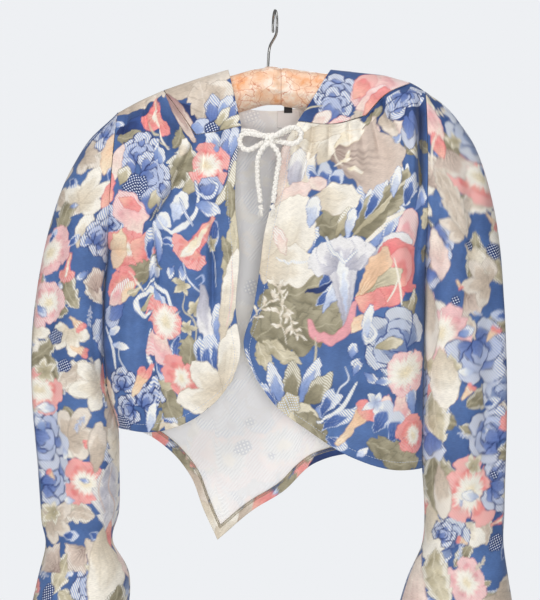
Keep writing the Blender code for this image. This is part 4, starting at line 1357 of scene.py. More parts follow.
RIGHT_FRONT_PRINT: Artwork = (
    (LEAF, 104, -142, 34, 44, OLIVE, 18), (LEAF, 156, -174, 32, 54, OLIVE, 20),
    (PETAL, 146, -140, 32, -112, SKY, 12, 1.0), (PETAL, 151, -160, 24, -34, STRAW, 11, 1.0),
    (PEONY, 153, -108, 26, -84, BLUE), (LEAF, 176, -262, 26, 100, STRAW, 13),
    (LEAF, 172, -214, 40, 76, OLIVE, 17), (PETAL, 129, -122, 40, -68, BEIGE, 18),
    (PETAL, 116, -128, 28, -66, BLUSH, 14), (PETAL, 141, -134, 32, -78, BLUSH, 12),
    (PETAL, 161, -122, 38, -88, BLUE, 21, 0.5), (PETAL, 154, -128, 42, -104, BLUE, 19, 0.9),
    (LEAF, 184, -172, 32, 146, OLIVE, 17), (LEAF, 176, -300, 24, 95, OLIVE, 13),
    (PETAL, 12, -238, 112, 74, CREAM, 54), (PETAL, 64, -174, 64, 142, CREAM, 38),
    (PETAL, 3, -232, 76, 82, BLUSH, 17, 0.3), (PETAL, 20, -214, 50, 72, LILAC, 26, 1.0),
    (PETAL, 42, -178, 42, 40, CREAM, 19, 0.3), (PETAL, 26, -154, 92, 9, CREAM, 28),
    (SKIRT, 60, -173, 88, -11, TAUPE, 43), (PETAL, 56, -160, 62, 14, THROAT, 19),
    (PETAL, 50, -186, 46, 58, CREAM, 20), (LINE, ((70, -188), (80, -182), (88, -172)), 1.6, THROAT),
    (PETAL, 84, -180, 12, 66, THROAT, 4), (PETAL, 78, -182, 12, 6, THROAT, 4),
    (PETAL, 86, -190, 13, -24, THROAT, 5), (LINE, ((69, -163), (72, -178), (80, -187)), 1.7, THROAT),
    (LEAF, 42, -262, 56, 14, OLIVE, 40), (FEATHER, 90, -272, 98, 40, OLIVE, 0.0, 1.0),
    (PETAL, 58, -216, 34, 72, OUTLINED, 14, 0.9), (PETAL, 51, -214, 28, 100, OUTLINED, 11, 0.9),
    (PETAL, 66, -214, 32, 52, OUTLINED, 11, 0.9), (PETAL, 96, -250, 42, 86, OUTLINED, 12, 0.9),
    (PETAL, 106, -250, 46, 64, OUTLINED, 12, 0.9), (PETAL, 152, -234, 42, 70, OUTLINED, 14, 1.0),
    (PETAL, 164, -242, 42, 52, SKY, 13, 1.0), (PETAL, 139, -224, 36, 80, CHALK, 11, 1.0),
    (PETAL, 41, -227, 60, 3, CREAM, 37), (PETAL, 38, -215, 30, 26, BLUSH, 13),
    (PETAL, 72, -270, 36, 62, STRAW, 13, 1.0), (PETAL, 84, -274, 38, 76, CHALK, 11, 1.0),
    (PETAL, 108, -290, 44, 50, SKY, 14, 1.0), (PETAL, 122, -290, 48, 60, SKY, 15, 1.0),
    (PETAL, 138, -284, 40, 70, OUTLINED, 15, 1.0),
    (LINE, ((102, -282), (124, -262), (153, -242)), 4.8, THROAT, 1.0, 0.5),
    (LEAF, -28, -386, 122, 18, OLIVE, 78), (LEAF, -20, -352, 100, 22, OLIVE, 58),
    (LEAF, 18, -380, 70, 8, OLIVE, 44), (LEAF, -24, -392, 62, 40, OLIVE, 44),
    (PETAL, 36, -336, 52, 14, NAVY, 8), (PETAL, 36, -294, 36, 68, SKY, 13, 1.0),
    (PETAL, -4, -240, 56, 32, BLUSH, 25), (PETAL, -14, -326, 112, 64, CREAM, 64),
    (PETAL, -20, -308, 70, 0, CREAM, 48, 0.3), (PETAL, 40, -260, 38, 76, CHALK, 15, 1.0),
    (PETAL, 12, -292, 36, 108, BLUSH, 13, 1.0),
    (LINE, ((2, -296), (20, -300), (38, -300)), 3.0, CHALK, 1.0),
    (SPRAY, 14, -398, 80, 98, CREAM, 0.0, 0.4), (SPRAY, -30, -372, 60, 44, CREAM, 0.0, 0.4),
    (SPRAY, 6, -350, 52, -62, CREAM, 0.0, 0.4), (PETAL, 48, -352, 42, 36, OUTLINED, 15, 1.0),
    (PETAL, 56, -360, 48, 62, CHALK, 13, 1.0), (PETAL, 52, -330, 38, 44, OUTLINED, 13, 1.0),
    (TRUMPET, 84, -376, 104, 94, LILAC, 64, 0.5),
    (LINE, ((60, -272), (70, -292), (84, -300), (96, -288)), 4.0, CHALK, 1.0, 0.6),
    (PETAL, 149, -300, 66, 78, PINK, 26, 0.7), (PETAL, 104, -308, 66, 26, LILAC, 28, 0.4),
    (SKIRT, 94, -347, 86, 34, CORAL, 30), (PETAL, 134, -340, 62, 68, CORAL, 32, 0.3),
    (PETAL, 104, -350, 48, 6, CORAL, 30), (SKIRT, 95, -343, 58, 50, PEACH, 20),
    (SKIRT, 99, -343, 52, 22, STRAW, 13), (LINE, ((140, -296), (146, -324), (149, -354)), 2.4, THROAT, 0.6),
    (LINE, ((145, -320), (140, -334), (132, -347)), 2.0, THROAT, 0.6),
    (PETAL, 94, -344, 38, -22, CORAL, 26),
    (LINE, ((41, -371), (46, -386), (64, -393), (82, -382), (93, -350)), 11.0, PINK, 0.0, 1.0),
    (LINE, ((47, -390), (48, -404), (45, -426)), 2.6, STRAW), (PETAL, 90, -384, 24, 58, PEACH, 14),
    (LEAF, -20, -394, 44, -64, STRAW, 18), (LEAF, -14, -394, 52, -30, STRAW, 20),
    (LINE, ((-34, -404), (-24, -440), (0, -470)), 5.0, OUTLINED, 1.0, 0.8),
    (LEAF, 134, -370, 48, 38, OLIVE, 26), (PETAL, 156, -368, 34, 72, STRAW, 10, 0.6),
    (PEONY, 143, -397, 43, 150, DUSK), (PETAL, 118, -402, 34, 16, STRAW, 13),
    (PETAL, 104, -398, 48, 80, CHALK, 12, 1.0),
    (LINE, ((104, -386), (110, -394), (118, -386), (112, -374)), 4.6, CHALK, 1.0, 0.6),
    (PETAL, 90, -414, 18, 84, SKY, 11, 1.0), (PETAL, 103, -420, 16, 152, SKY, 10, 1.0),
    (PETAL, 92, -434, 18, 68, SKY, 10, 1.0), (PETAL, 104, -431, 24, -36, SKY, 10, 1.0),
    (PETAL, 116, -444, 24, 12, SKY, 9, 1.0), (PETAL, 148, -452, 50, -82, PINK, 26, 0.8),
    (PETAL, 134, -458, 28, -112, PINK, 18, 0.2), (PETAL, 162, -482, 46, 92, SKY, 15, 0.7),
    (BLOOM, 154, -431, 27, 30, PINK, 0.85, 0.7), (PETAL, 0, -470, 40, 130, OUTLINED, 18, 1.0),
    (PETAL, 8, -470, 50, 106, SKY, 17, 1.0), (PETAL, 40, -484, 46, 32, SKY, 15, 1.0),
    (PETAL, 28, -468, 56, 64, SKY, 17, 1.0), (PETAL, 18, -466, 50, 86, OLIVE, 20, 0.6),
    (PETAL, 32, -474, 54, 50, OLIVE, 21, 0.6), (PETAL, 60, -516, 74, 136, STRAW, 42),
    (LEAF, 58, -514, 52, 132, OLIVE, 30), (CHECK, 16, -466, 14, 40, STRAW),
    (LINE, ((82, -424), (86, -438), (75, -450), (72, -464), (80, -470)), 1.9, CHALK),
    (LINE, ((50, -489), (72, -477), (95, -443)), 4.8, CHALK, 1.0, 0.4),
    (PETAL, 55, -498, 44, 22, OUTLINED, 15, 1.0), (PETAL, 54, -484, 34, 66, OUTLINED, 13, 1.0),
    (PETAL, 60, -508, 28, -30, OUTLINED, 13, 1.0), (TRUMPET, 72, -515, 54, 42, ORANGE, 23),
    (PETAL, 116, -502, 44, 62, OUTLINED, 19, 1.0), (PETAL, 136, -512, 38, 72, OUTLINED, 19, 1.0),
    (STAR, 120, -466, 20, 200, CHALK, 0.0, 1.0), (LEAF, 108, -512, 66, -14, OLIVE, 32),
    (LEAF, 126, -532, 50, -6, OLIVE, 32), (BLOOM, 163, -506, 24, 10, CORAL, 0.5, 0.3),
    (PETAL, 96, -530, 16, 40, CHALK, 8, 1.0),
)
LEFT_YOKE_PRINT: Artwork = (
    (PETAL, -150, -112, 112, 21, BEIGE, 40), (PETAL, -82, -108, 36, 26, BEIGE, 30, 0.5),
    (PETAL, -118, -112, 60, -38, NAVY, 18), (LEAF, -85, -133, 52, 97, BEIGE, 38),
    (PETAL, -129, -101, 68, -59, MAUVE, 15), (PETAL, -76, -136, 34, 84, BLUE, 18, 0.8),
    (PETAL, -66, -136, 34, 66, SKY, 17, 0.8), (PETAL, -58, -132, 28, 54, BLUE, 12, 0.8),
    (PETAL, -101, -150, 26, 32, SKY, 18, 0.2), (PETAL, -72, -142, 30, 54, STRAW, 10, 1.0),
    (PETAL, -66, -144, 30, 32, STRAW, 10, 1.0), (PETAL, -60, -144, 22, 10, STRAW, 9, 1.0),
    (CHECK, -75, -142, 8, 0, NAVY),
)
RIGHT_YOKE_PRINT: Artwork = (
    (LEAF, 88, -140, 42, 44, BEIGE, 22),
    (LINE, ((51, -114), (49, -103), (57, -92), (68, -84)), 9.0, SKY, 1.0, 0.8),
    (PEONY, 73, -99, 25, 92, BLUE), (PEONY, 70, -115, 21, 100, BLUE),
    (PETAL, 62, -134, 28, 72, BLUE, 24, 0.3), (BLOOM, 115, -95, 27, 0, PINK, 0.35, 0.9),
    (PETAL, 96, -84, 70, 0, PINK, 28, 0.9), (PETAL, 92, -108, 46, 54, CORAL, 22, 0.6),
    (PETAL, 96, -120, 50, 32, PINK, 22, 0.8), (PETAL, 104, -126, 44, 44, CORAL, 13),
    (PETAL, 42, -142, 30, 38, BLUSH, 15, 1.0), (PETAL, 60, -142, 30, 22, PINK, 12, 0.9),
    (LINE, ((27, -126), (42, -118), (56, -116)), 1.9, STRAW),
)
HEM_PRINT: Artwork = (
    (PETAL, -162, -507, 34, -20, CORAL, 24), (LEAF, -124, -528, 46, -56, OLIVE, 24),
    (PETAL, -108, -552, 54, -66, BEIGE, 28), (PETAL, -94, -588, 56, -64, CREAM, 28),
    (PETAL, -78, -644, 62, 42, CREAM, 28, 0.6), (PETAL, -46, -618, 44, 38, BEIGE, 24),
    (PETAL, -28, -604, 36, 34, CORAL, 26), (LEAF, 4, -582, 38, 40, OLIVE, 24),
    (PETAL, 28, -562, 18, 40, CORAL, 16), (PETAL, 40, -552, 60, 24, NAVY, 30),
)
LEFT_SLEEVE_PRINT: Artwork = (
    (PEONY, -200, -146, 20, 80, BLUE), (PETAL, -202, -198, 50, 84, PEACH, 24),
    (PETAL, -204, -238, 46, 80, CORAL, 28), (PEONY, -208, -272, 24, 70, BLUE),
    (LEAF, -196, -680, 60, 118, BEIGE, 34), (LEAF, -200, -452, 100, -88, BEIGE, 56),
    (LEAF, -190, -478, 74, -92, CREAM, 46, 0.4), (PETAL, -212, -548, 60, 84, BEIGE, 20),
    (LEAF, -195, -538, 88, -88, LILAC, 48, 0.7),
    (LINE, ((-194, -544), (-198, -566), (-192, -590), (-197, -612)), 2.0, MAUVE),
    (LINE, ((-204, -548), (-208, -572), (-202, -596)), 1.6, MAUVE), (PETAL, -196, -608, 34, -84, CORAL, 16),
    (PETAL, -204, -614, 100, -86, CREAM, 48), (PETAL, -190, -630, 46, -82, BLUSH, 24),
    (LEAF, -186, -684, 60, -74, OLIVE, 40, 0.8),
)
RIGHT_SLEEVE_PRINT: Artwork = (
    (PETAL, 198, -160, 58, 106, PINK, 32, 0.4), (PETAL, 197, -178, 30, 100, CORAL, 16),
    (LINE, ((194, -144), (186, -160), (185, -192)), 2.6, THROAT),
    (LEAF, 189, -192, 80, -88, BEIGE, 30, 0.3), (PETAL, 186, -262, 60, -88, BLUSH, 26),
    (PETAL, 182, -308, 24, -88, BLUE, 30, 0.8), (PETAL, 181, -322, 96, -90, BEIGE, 34, 0.5),
    (LEAF, 188, -452, 64, -82, STRAW, 38, 0.7), (PETAL, 194, -404, 70, -86, CREAM, 36),
    (PETAL, 184, -502, 38, -80, BLUE, 34, 0.9), (LEAF, 188, -532, 68, -88, OLIVE, 40, 0.6),
    (PETAL, 194, -540, 64, -86, BEIGE, 22, 0.6), (PETAL, 184, -586, 70, -84, CREAM, 42, 0.5),
    (PEONY, 198, -622, 16, 60, BLUE), (LEAF, 190, -640, 70, -78, STRAW, 36, 0.7),
    (PETAL, 176, -648, 90, -96, BLUSH, 34),
)


# The hung form

@dataclass(frozen=True)
class Half:
    """Outlines of one half of the body as hung, all (x, z)."""

    name: str
    outward: float
    ridge_outer: Outline
    ridge_inner: Outline
    yoke_outer: Outline
    yoke_lower: Outline
    neck: Outline
    front_edge: Outline
    hem: Outline
    side: Outline


LEFT = Half(
    name="left",
    outward=-1.0,
    ridge_outer=((-0.187, -0.121), (-0.161, -0.107), (-0.134, -0.095)),
    ridge_inner=((-0.134, -0.095), (-0.090, -0.080), (-0.056, -0.070)),
    yoke_outer=((-0.134, -0.095), (-0.115, -0.121), (-0.094, -0.151)),
    yoke_lower=((-0.094, -0.151), (-0.065, -0.146), (-0.040, -0.140)),
    neck=((-0.056, -0.070), (-0.048, -0.104), (-0.040, -0.140)),
    front_edge=(
        (-0.040, -0.140), (-0.046, -0.190), (-0.047, -0.230), (-0.042, -0.288),
        (-0.046, -0.360), (-0.041, -0.410), (-0.050, -0.440),
    ),
    hem=((-0.186, -0.498), (-0.146, -0.501), (-0.114, -0.494), (-0.070, -0.465), (-0.050, -0.440)),
    side=((-0.199, -0.286), (-0.205, -0.340), (-0.206, -0.400), (-0.200, -0.455), (-0.186, -0.498)),
)
RIGHT = Half(
    name="right",
    outward=1.0,
    ridge_outer=((0.179, -0.096), (0.172, -0.091), (0.163, -0.086)),
    ridge_inner=((0.163, -0.086), (0.131, -0.077), (0.067, -0.070)),
    yoke_outer=((0.163, -0.086), (0.131, -0.103), (0.108, -0.128)),
    yoke_lower=((0.108, -0.128), (0.070, -0.138), (0.027, -0.135)),
    neck=((0.067, -0.070), (0.048, -0.102), (0.027, -0.135)),
    front_edge=(
        (0.027, -0.135), (0.009, -0.166), (0.000, -0.215), (-0.013, -0.269), (-0.018, -0.308),
        (-0.026, -0.357), (-0.037, -0.398), (-0.023, -0.437),
    ),
    hem=(
        (0.176, -0.546), (0.142, -0.546), (0.089, -0.530), (0.039, -0.499), (0.001, -0.470), (-0.023, -0.437),
    ),
    side=((0.180, -0.286), (0.179, -0.380), (0.177, -0.465), (0.176, -0.546)),
)

# Soft ridges and troughs: start x and z, end x and z, half width, and height towards the viewer
Folds = tuple[tuple[float, float, float, float, float, float], ...]
LEFT_FOLDS: Folds = (
    (-0.136, -0.112, -0.103, -0.154, 0.009, 0.006), (-0.090, -0.146, -0.132, -0.236, 0.0030, -0.006),
    (-0.096, -0.150, -0.140, -0.240, 0.009, 0.007), (-0.120, -0.212, -0.150, -0.258, 0.0032, -0.007),
    (-0.144, -0.236, -0.134, -0.340, 0.0030, -0.006), (-0.150, -0.236, -0.142, -0.340, 0.008, 0.005),
    (-0.080, -0.150, -0.088, -0.206, 0.0030, -0.004), (-0.062, -0.138, -0.066, -0.186, 0.0030, -0.004),
    (-0.074, -0.240, -0.074, -0.370, 0.0040, -0.008), (-0.082, -0.240, -0.083, -0.370, 0.008, 0.004),
    (-0.156, -0.100, -0.152, -0.150, 0.0030, -0.004), (-0.142, -0.094, -0.143, -0.132, 0.0030, -0.004),
    (-0.172, -0.108, -0.180, -0.160, 0.0035, -0.004), (-0.110, -0.330, -0.100, -0.470, 0.022, 0.005),
    (-0.160, -0.300, -0.158, -0.470, 0.018, -0.004), (-0.147, -0.112, -0.160, -0.170, 0.006, -0.003),
    (-0.120, -0.124, -0.136, -0.182, 0.005, 0.003), (-0.112, -0.190, -0.152, -0.262, 0.005, -0.003),
    (-0.088, -0.152, -0.084, -0.205, 0.005, -0.003), (-0.066, -0.148, -0.062, -0.200, 0.005, 0.002),
    (-0.142, -0.250, -0.140, -0.330, 0.005, 0.003), (-0.171, -0.340, -0.178, -0.470, 0.009, 0.003),
    (-0.113, -0.380, -0.120, -0.470, 0.009, -0.003), (-0.062, -0.380, -0.072, -0.460, 0.008, 0.003),
)
RIGHT_FOLDS: Folds = (
    (0.055, -0.146, 0.044, -0.200, 0.008, 0.004), (0.074, -0.146, 0.070, -0.215, 0.008, -0.004),
    (0.092, -0.142, 0.098, -0.210, 0.009, 0.005), (0.116, -0.128, 0.130, -0.190, 0.010, -0.005),
    (0.140, -0.108, 0.150, -0.260, 0.012, 0.007), (0.173, -0.096, 0.173, -0.240, 0.0055, -0.020),
    (0.162, -0.100, 0.163, -0.225, 0.007, 0.007), (0.030, -0.142, 0.012, -0.214, 0.0034, -0.0045),
    (0.046, -0.150, 0.026, -0.222, 0.0036, -0.0045), (0.022, -0.140, 0.003, -0.196, 0.0034, 0.0030),
    (0.171, -0.236, 0.165, -0.330, 0.0032, -0.005), (0.046, -0.118, 0.042, -0.176, 0.0030, -0.004),
    (0.066, -0.120, 0.062, -0.184, 0.0028, -0.004), (0.086, -0.118, 0.090, -0.176, 0.0028, -0.004),
    (0.110, -0.108, 0.124, -0.176, 0.0030, -0.005), (0.122, -0.098, 0.146, -0.160, 0.0030, -0.005),
    (0.060, -0.300, 0.075, -0.500, 0.028, 0.005), (0.130, -0.330, 0.128, -0.520, 0.020, -0.004),
    (0.082, -0.134, 0.080, -0.166, 0.004, 0.002), (0.100, -0.130, 0.104, -0.170, 0.004, -0.003),
    (0.114, -0.122, 0.121, -0.172, 0.004, 0.003), (0.129, -0.112, 0.140, -0.172, 0.004, -0.003),
    (0.146, -0.102, 0.154, -0.160, 0.005, 0.003), (0.064, -0.240, 0.090, -0.350, 0.014, -0.004),
    (0.146, -0.228, 0.158, -0.390, 0.010, 0.004), (0.012, -0.380, 0.030, -0.490, 0.016, 0.003),
    (0.040, -0.200, 0.020, -0.300, 0.012, 0.003),
)
BACK_FOLDS: Folds = (
    (-0.110, -0.180, -0.105, -0.500, 0.024, -0.005), (-0.020, -0.160, -0.030, -0.560, 0.030, 0.005),
    (0.060, -0.170, 0.050, -0.520, 0.026, -0.005), (0.125, -0.190, 0.118, -0.500, 0.022, 0.005),
    (-0.070, -0.200, -0.062, -0.420, 0.012, 0.003), (0.020, -0.240, 0.016, -0.480, 0.014, -0.003),
    (-0.150, -0.260, -0.140, -0.460, 0.012, 0.003),
)


@dataclass(frozen=True)
class HungForm:
    """How the body of the jacket stands off the hanger's plane as it hangs."""

    # (z, depth of the fronts, depth of the back)
    sections: tuple[Point, ...] = (
        (-0.650, 0.040, 0.034), (-0.500, 0.043, 0.036), (-0.400, 0.046, 0.037),
        (-0.250, 0.041, 0.034), (-0.140, 0.031, 0.029), (-0.060, 0.026, 0.026),
    )
    shoulder_drop: float = 0.032
    side_round: float = 0.070
    side_power: float = 2.2
    armhole_depth: float = 0.038
    armhole_share: float = 0.44
    least_depth: float = 0.0006
    fold_fade: float = 0.3
    fold_inset: float = 0.007
    wrinkle: float = 0.0007
    wrinkle_size: float = 0.036
    wrinkle_slant: float = 0.4
    # A seam's own points nearer than this to its new end are left out
    end_gap: float = 0.0023

    def ridge_height(self, x: Array) -> Array:
        """Height of the shoulder line at x."""
        table = np.array(sorted(LEFT.ridge_outer + LEFT.ridge_inner + RIGHT.ridge_inner + RIGHT.ridge_outer))
        return np.interp(x, table[:, 0], table[:, 1])

    def depth(self, x: Array, z: Array, column: int) -> Array:
        """Distance from the hanger's plane before the sides round away.

        Args:
            x: Places across.
            z: Heights.
            column: 1 for the fronts and 2 for the back.

        Returns:
            The distances.
        """
        table = np.array(self.sections)
        drop = unit((self.ridge_height(x) - z) / self.shoulder_drop)
        return np.interp(z, table[:, 0], table[:, column]) * np.sqrt(1.0 - (1.0 - drop) ** 2)

    def side_edge(self, half: Half, z: Array) -> tuple[Array, Array]:
        """Find the armhole and side seam of one half at each height.

        Args:
            half: The half.
            z: Heights.

        Returns:
            The places across, and how deep the cloth is there.
        """
        top, under, seam = np.array(half.ridge_outer[0]), np.array(half.side[0]), np.array(half.side)[::-1]
        armhole = np.interp(z, [under[1], top[1]], [under[0], top[0]])
        x = np.where(z > under[1], armhole, np.interp(z, seam[:, 1], seam[:, 0]))
        middle = 0.5 * (top[1] + under[1])
        offset = np.clip((z - middle) / (top[1] - middle), -1.0, 1.0)
        return x, self.armhole_depth * np.sqrt(1.0 - offset ** 2)

    def rounded(self, depth: Array, edge_depth: Array, distance: Array) -> Array:
        """Round the cloth into a side edge.

        Args:
            depth: Depth of the cloth away from the edge.
            edge_depth: Depth at the edge.
            distance: Distance from the edge.

        Returns:
            The rounded depth.
        """
        near = unit(distance / self.side_round)
        swell = (1.0 - (1.0 - near) ** self.side_power) ** (1.0 / self.side_power)
        return edge_depth + (depth - edge_depth) * swell

    def creased(self, x: Array, z: Array, folds: Folds, seed: int) -> Array:
        """Height of folds and of small wrinkles that run mostly downwards.

        Args:
            x: Places across.
            z: Heights.
            folds: The folds.
            seed: Seed of the wrinkles.

        Returns:
            Heights towards the viewer.
        """
        total = np.zeros_like(x)
        for start_x, start_z, end_x, end_z, half_width, height in folds:
            run = np.array([end_x - start_x, end_z - start_z])
            length = np.linalg.norm(run)
            a, b = x - start_x, z - start_z
            along = (a * run[0] + b * run[1]) / length
            across = (a * run[1] - b * run[0]) / length
            reach = self.fold_fade * length
            fade = unit(along / reach) * unit((length - along) / reach)
            total += height * np.exp(-(across / half_width) ** 2) * ease(fade)
        places = np.stack([x, self.wrinkle_slant * z], axis=-1)
        return total + self.wrinkle * ripple(places, self.wrinkle_size, seed)

    def side_border(self, half: Half, end: Array | None = None) -> Curve:
        """Border down the armhole and side seam of one half.

        Args:
            half: The half.
            end: Where it ends above the hem, or nothing to go down to the hem.

        Returns:
            The border.
        """
        seam = list(half.side)
        if end is not None:
            seam = [point for point in seam if point[1] > end[1] + self.end_gap] + [tuple(end)]
        shares = (self.armhole_share, 1.0 - self.armhole_share)
        return joined_curve([half.ridge_outer[0], half.side[0]], seam, shares=shares)


FORM = HungForm()


class Edge(Enum):
    """A border of a panel's grid."""

    TOP = "first row"
    BOTTOM = "last row"
    FIRST = "first column"
    LAST = "last column"


@dataclass
class Panel:
    """One cut piece of cloth as hung: a grid of points on its middle surface."""

    name: str
    points: Array
    face_side: float
    tube: bool = False
    thickness: float = 0.0014
    inner_step: int = 2
    anchor: int = -1
    stitch_share: float = 0.9
    stitch_lift: float = 0.0001
    groove_half: float = 0.0011
    groove: float = 0.0004
    allowance: float = 0.010
    flat: Array = field(init=False)
    normals: Array = field(init=False)
    lift: Array = field(init=False)

    def __post_init__(self) -> None:
        """Work out the directions of the face and the place of each point on the flat cloth."""
        wrapped = self.points
        if self.tube:
            wrapped = np.concatenate([wrapped[:, -2:-1], wrapped, wrapped[:, 1:2]], axis=1)
        normals = np.cross(np.gradient(wrapped, axis=1), np.gradient(wrapped, axis=0))
        normals /= np.maximum(np.linalg.norm(normals, axis=2), 1e-12)[..., None]
        self.normals = self.face_side * (normals[:, 1:-1] if self.tube else normals)
        self.lift = np.zeros(self.points.shape[:2])
        self.flat = self.open_flat()

    @staticmethod
    def steps(points: Array, axis: int) -> Array:
        """Running length along one axis of a grid of points."""
        padding = [(int(i == axis), 0) for i in range(2)]
        return np.pad(np.cumsum(lengths(points, axis), axis=axis), padding)

    def open_flat(self) -> Array:
        """Lay the cloth flat: as seen from the front, with its extra length spread out.

        Returns:
            The flat place of each point.
        """
        seen = self.points[..., [0, 2]]
        down, across = (self.steps(self.points, axis) - self.steps(seen, axis) for axis in range(2))
        heading = np.sign(self.points[:, -1, 0].mean() - self.points[:, 0, 0].mean())
        u = self.points[..., 0] + heading * (across - across[:, self.anchor][:, None])
        return np.stack([u, self.points[..., 2] - down], axis=-1)

    def flat_at(self, x: float, z: float) -> Array:
        """Find a point seen from the front on the flat cloth, in millimetres.

        Args:
            x: Place across.
            z: Height.

        Returns:
            The flat place.
        """
        away = np.hypot(self.points[..., 0] * MM - x, self.points[..., 2] * MM - z)
        if self.tube:
            away = away + np.where(self.points[..., 1] > 0.0, MM, 0.0)
        nearest = np.unravel_index(np.argmin(away), away.shape)
        offset = np.array([x, z]) - self.points[nearest][[0, 2]] * MM
        return self.flat[nearest] * MM + (0.0 if self.tube else offset)

    def border_distance(self, edge: Edge) -> Array:
        """Measure the distance of each point from a border, along the cloth.

        Args:
            edge: The border.

        Returns:
            The distances.
        """
        axis = 0 if edge in (Edge.TOP, Edge.BOTTOM) else 1
        reach = self.steps(self.points, axis)
        return reach if edge in (Edge.TOP, Edge.FIRST) else np.take(reach, [-1], axis=axis) - reach

    def hem(self, edges: Sequence[Edge], width: float, extra: float) -> list[Array]:
        """Thicken the turned borders and sink their stitch line.

        Args:
            edges: Borders that are turned.
            width: Width of the turned band.
            extra: Extra thickness of the band.

        Returns:
            The stitch line inside each border.
        """
        distance = np.min([self.border_distance(edge) for edge in edges], axis=0)
        self.lift += extra * ease(-distance, -1.15 * width, -0.95 * width)
        self.lift -= self.groove * np.exp(-((distance - self.stitch_share * width) / self.groove_half) ** 2)
        return [self.inside_line(edge, self.stitch_share * width, self.stitch_lift) for edge in edges]

    def face(self) -> Array:
        """Points of the right side."""
        return self.points + self.normals * (0.5 * self.thickness + self.lift)[..., None]

    def back(self) -> Array:
        """Points of the wrong side."""
        return self.points - self.normals * (0.5 * self.thickness)

    def inside_line(self, edge: Edge, distance: float, lift: float) -> Array:
        """Draw a line on the right side at a distance inside a border.

        Args:
            edge: The border.
            distance: Distance from it along the cloth.
            lift: Height of the line over the cloth.

        Returns:
            Points of the line.
        """
        surface, reach = self.face() + self.normals * lift, self.border_distance(edge)
        if edge in (Edge.FIRST, Edge.LAST):
            surface, reach = surface.transpose(1, 0, 2), reach.T
        if edge in (Edge.BOTTOM, Edge.LAST):
            surface, reach = surface[::-1], reach[::-1]
        return np.array([
            [np.interp(distance, reach[:, j], surface[:, j, i]) for i in range(3)]
            for j in range(reach.shape[1])
        ])

    def both_sides(self, face: Array, back: Array, closed: bool) -> Array:
        """List a grid of the right side and then the coarser one of the wrong side.

        Args:
            face: Values of the right side.
            back: Values of the wrong side.
            closed: Leave out the last column, which a tube shares with the first.

        Returns:
            The values, one row each.
        """
        coarse = back[::self.inner_step, ::self.inner_step]
        return np.concatenate([
            grid[:, :grid.shape[1] - closed].reshape(-1, grid.shape[2]) for grid in (face, coarse)
        ])

    def build(self, colours: dict[str, Array], materials: Sequence[Material] = ()) -> Piece:
        """Make the two-sided shell of the panel.

        Args:
            colours: Colour attributes of the grid points.
            materials: Its materials, or none for the two sides of the jacquard.

        Returns:
            The shell.
        """
        materials = materials or (FINISHES.face, FINISHES.reverse)
        step, numbers, owners, cells, used = self.inner_step, [], [], 0, 0
        for rows, columns in (self.points.shape[:2], self.points[::step, ::step].shape[:2]):
            wide = columns - self.tube
            numbers.append(cells + np.arange(rows * columns).reshape(rows, columns))
            owners.append(used + (np.arange(rows)[:, None] * wide + np.arange(columns) % wide).ravel())
            cells += rows * columns
            used += rows * wide
        outer, inner = numbers
        fronts = (outer[:-1, :-1], outer[:-1, 1:], outer[1:, 1:], outer[1:, :-1])
        backs = (inner[:-1, :-1], inner[1:, :-1], inner[1:, 1:], inner[:-1, 1:])
        faces = [np.stack(quads, axis=-1).reshape(-1, 4) for quads in (fronts, backs)]
        rims = [(outer[0], inner[0], True), (outer[-1], inner[-1], False)]
        if not self.tube:
            rims += [(outer[:, -1], inner[:, -1], True), (outer[:, 0], inner[:, 0], False)]
        for edge, under, backwards in rims:
            run = np.stack([edge[i:len(edge) - step + i:step] for i in range(step + 1)], axis=-1)
            strip = np.concatenate([run, under[1:, None], under[:-1, None]], axis=1)
            faces.append(strip[:, ::-1] if backwards else strip)
        if self.face_side < 0:
            faces = [part[:, ::-1] for part in faces]
        flat = self.both_sides(self.flat, self.flat, False)
        corners = np.concatenate([flat[part.ravel()] for part in faces])
        grids = {title: values.reshape(*self.points.shape[:2], 3) for title, values in colours.items()}
        values = {title: self.both_sides(grid, grid, self.tube) for title, grid in grids.items()}
        vertices, owner = self.both_sides(self.face(), self.back(), self.tube), np.concatenate(owners)
        slots = [0, len(materials) - 1] + [0] * len(rims)
        faces = [owner[part] for part in faces]
        return mesh_object(f"{self.name}_cloth", vertices, faces, materials, slots, corners, values)


def dress(
    panel: Panel, piece: Piece, slot: str, extras: Sequence[Piece] = ()
) -> None:
    """Tie a cloth piece and its extras to the frame.

    Args:
        panel: The panel it was made from.
        piece: The shell.
        slot: Name handed on to tie_in.
        extras: Stitches and bands that go with it.
    """
    tie_in(piece, slot, panel.name)
    for extra in extras:
        tie_in(extra, slot)


# Sewing

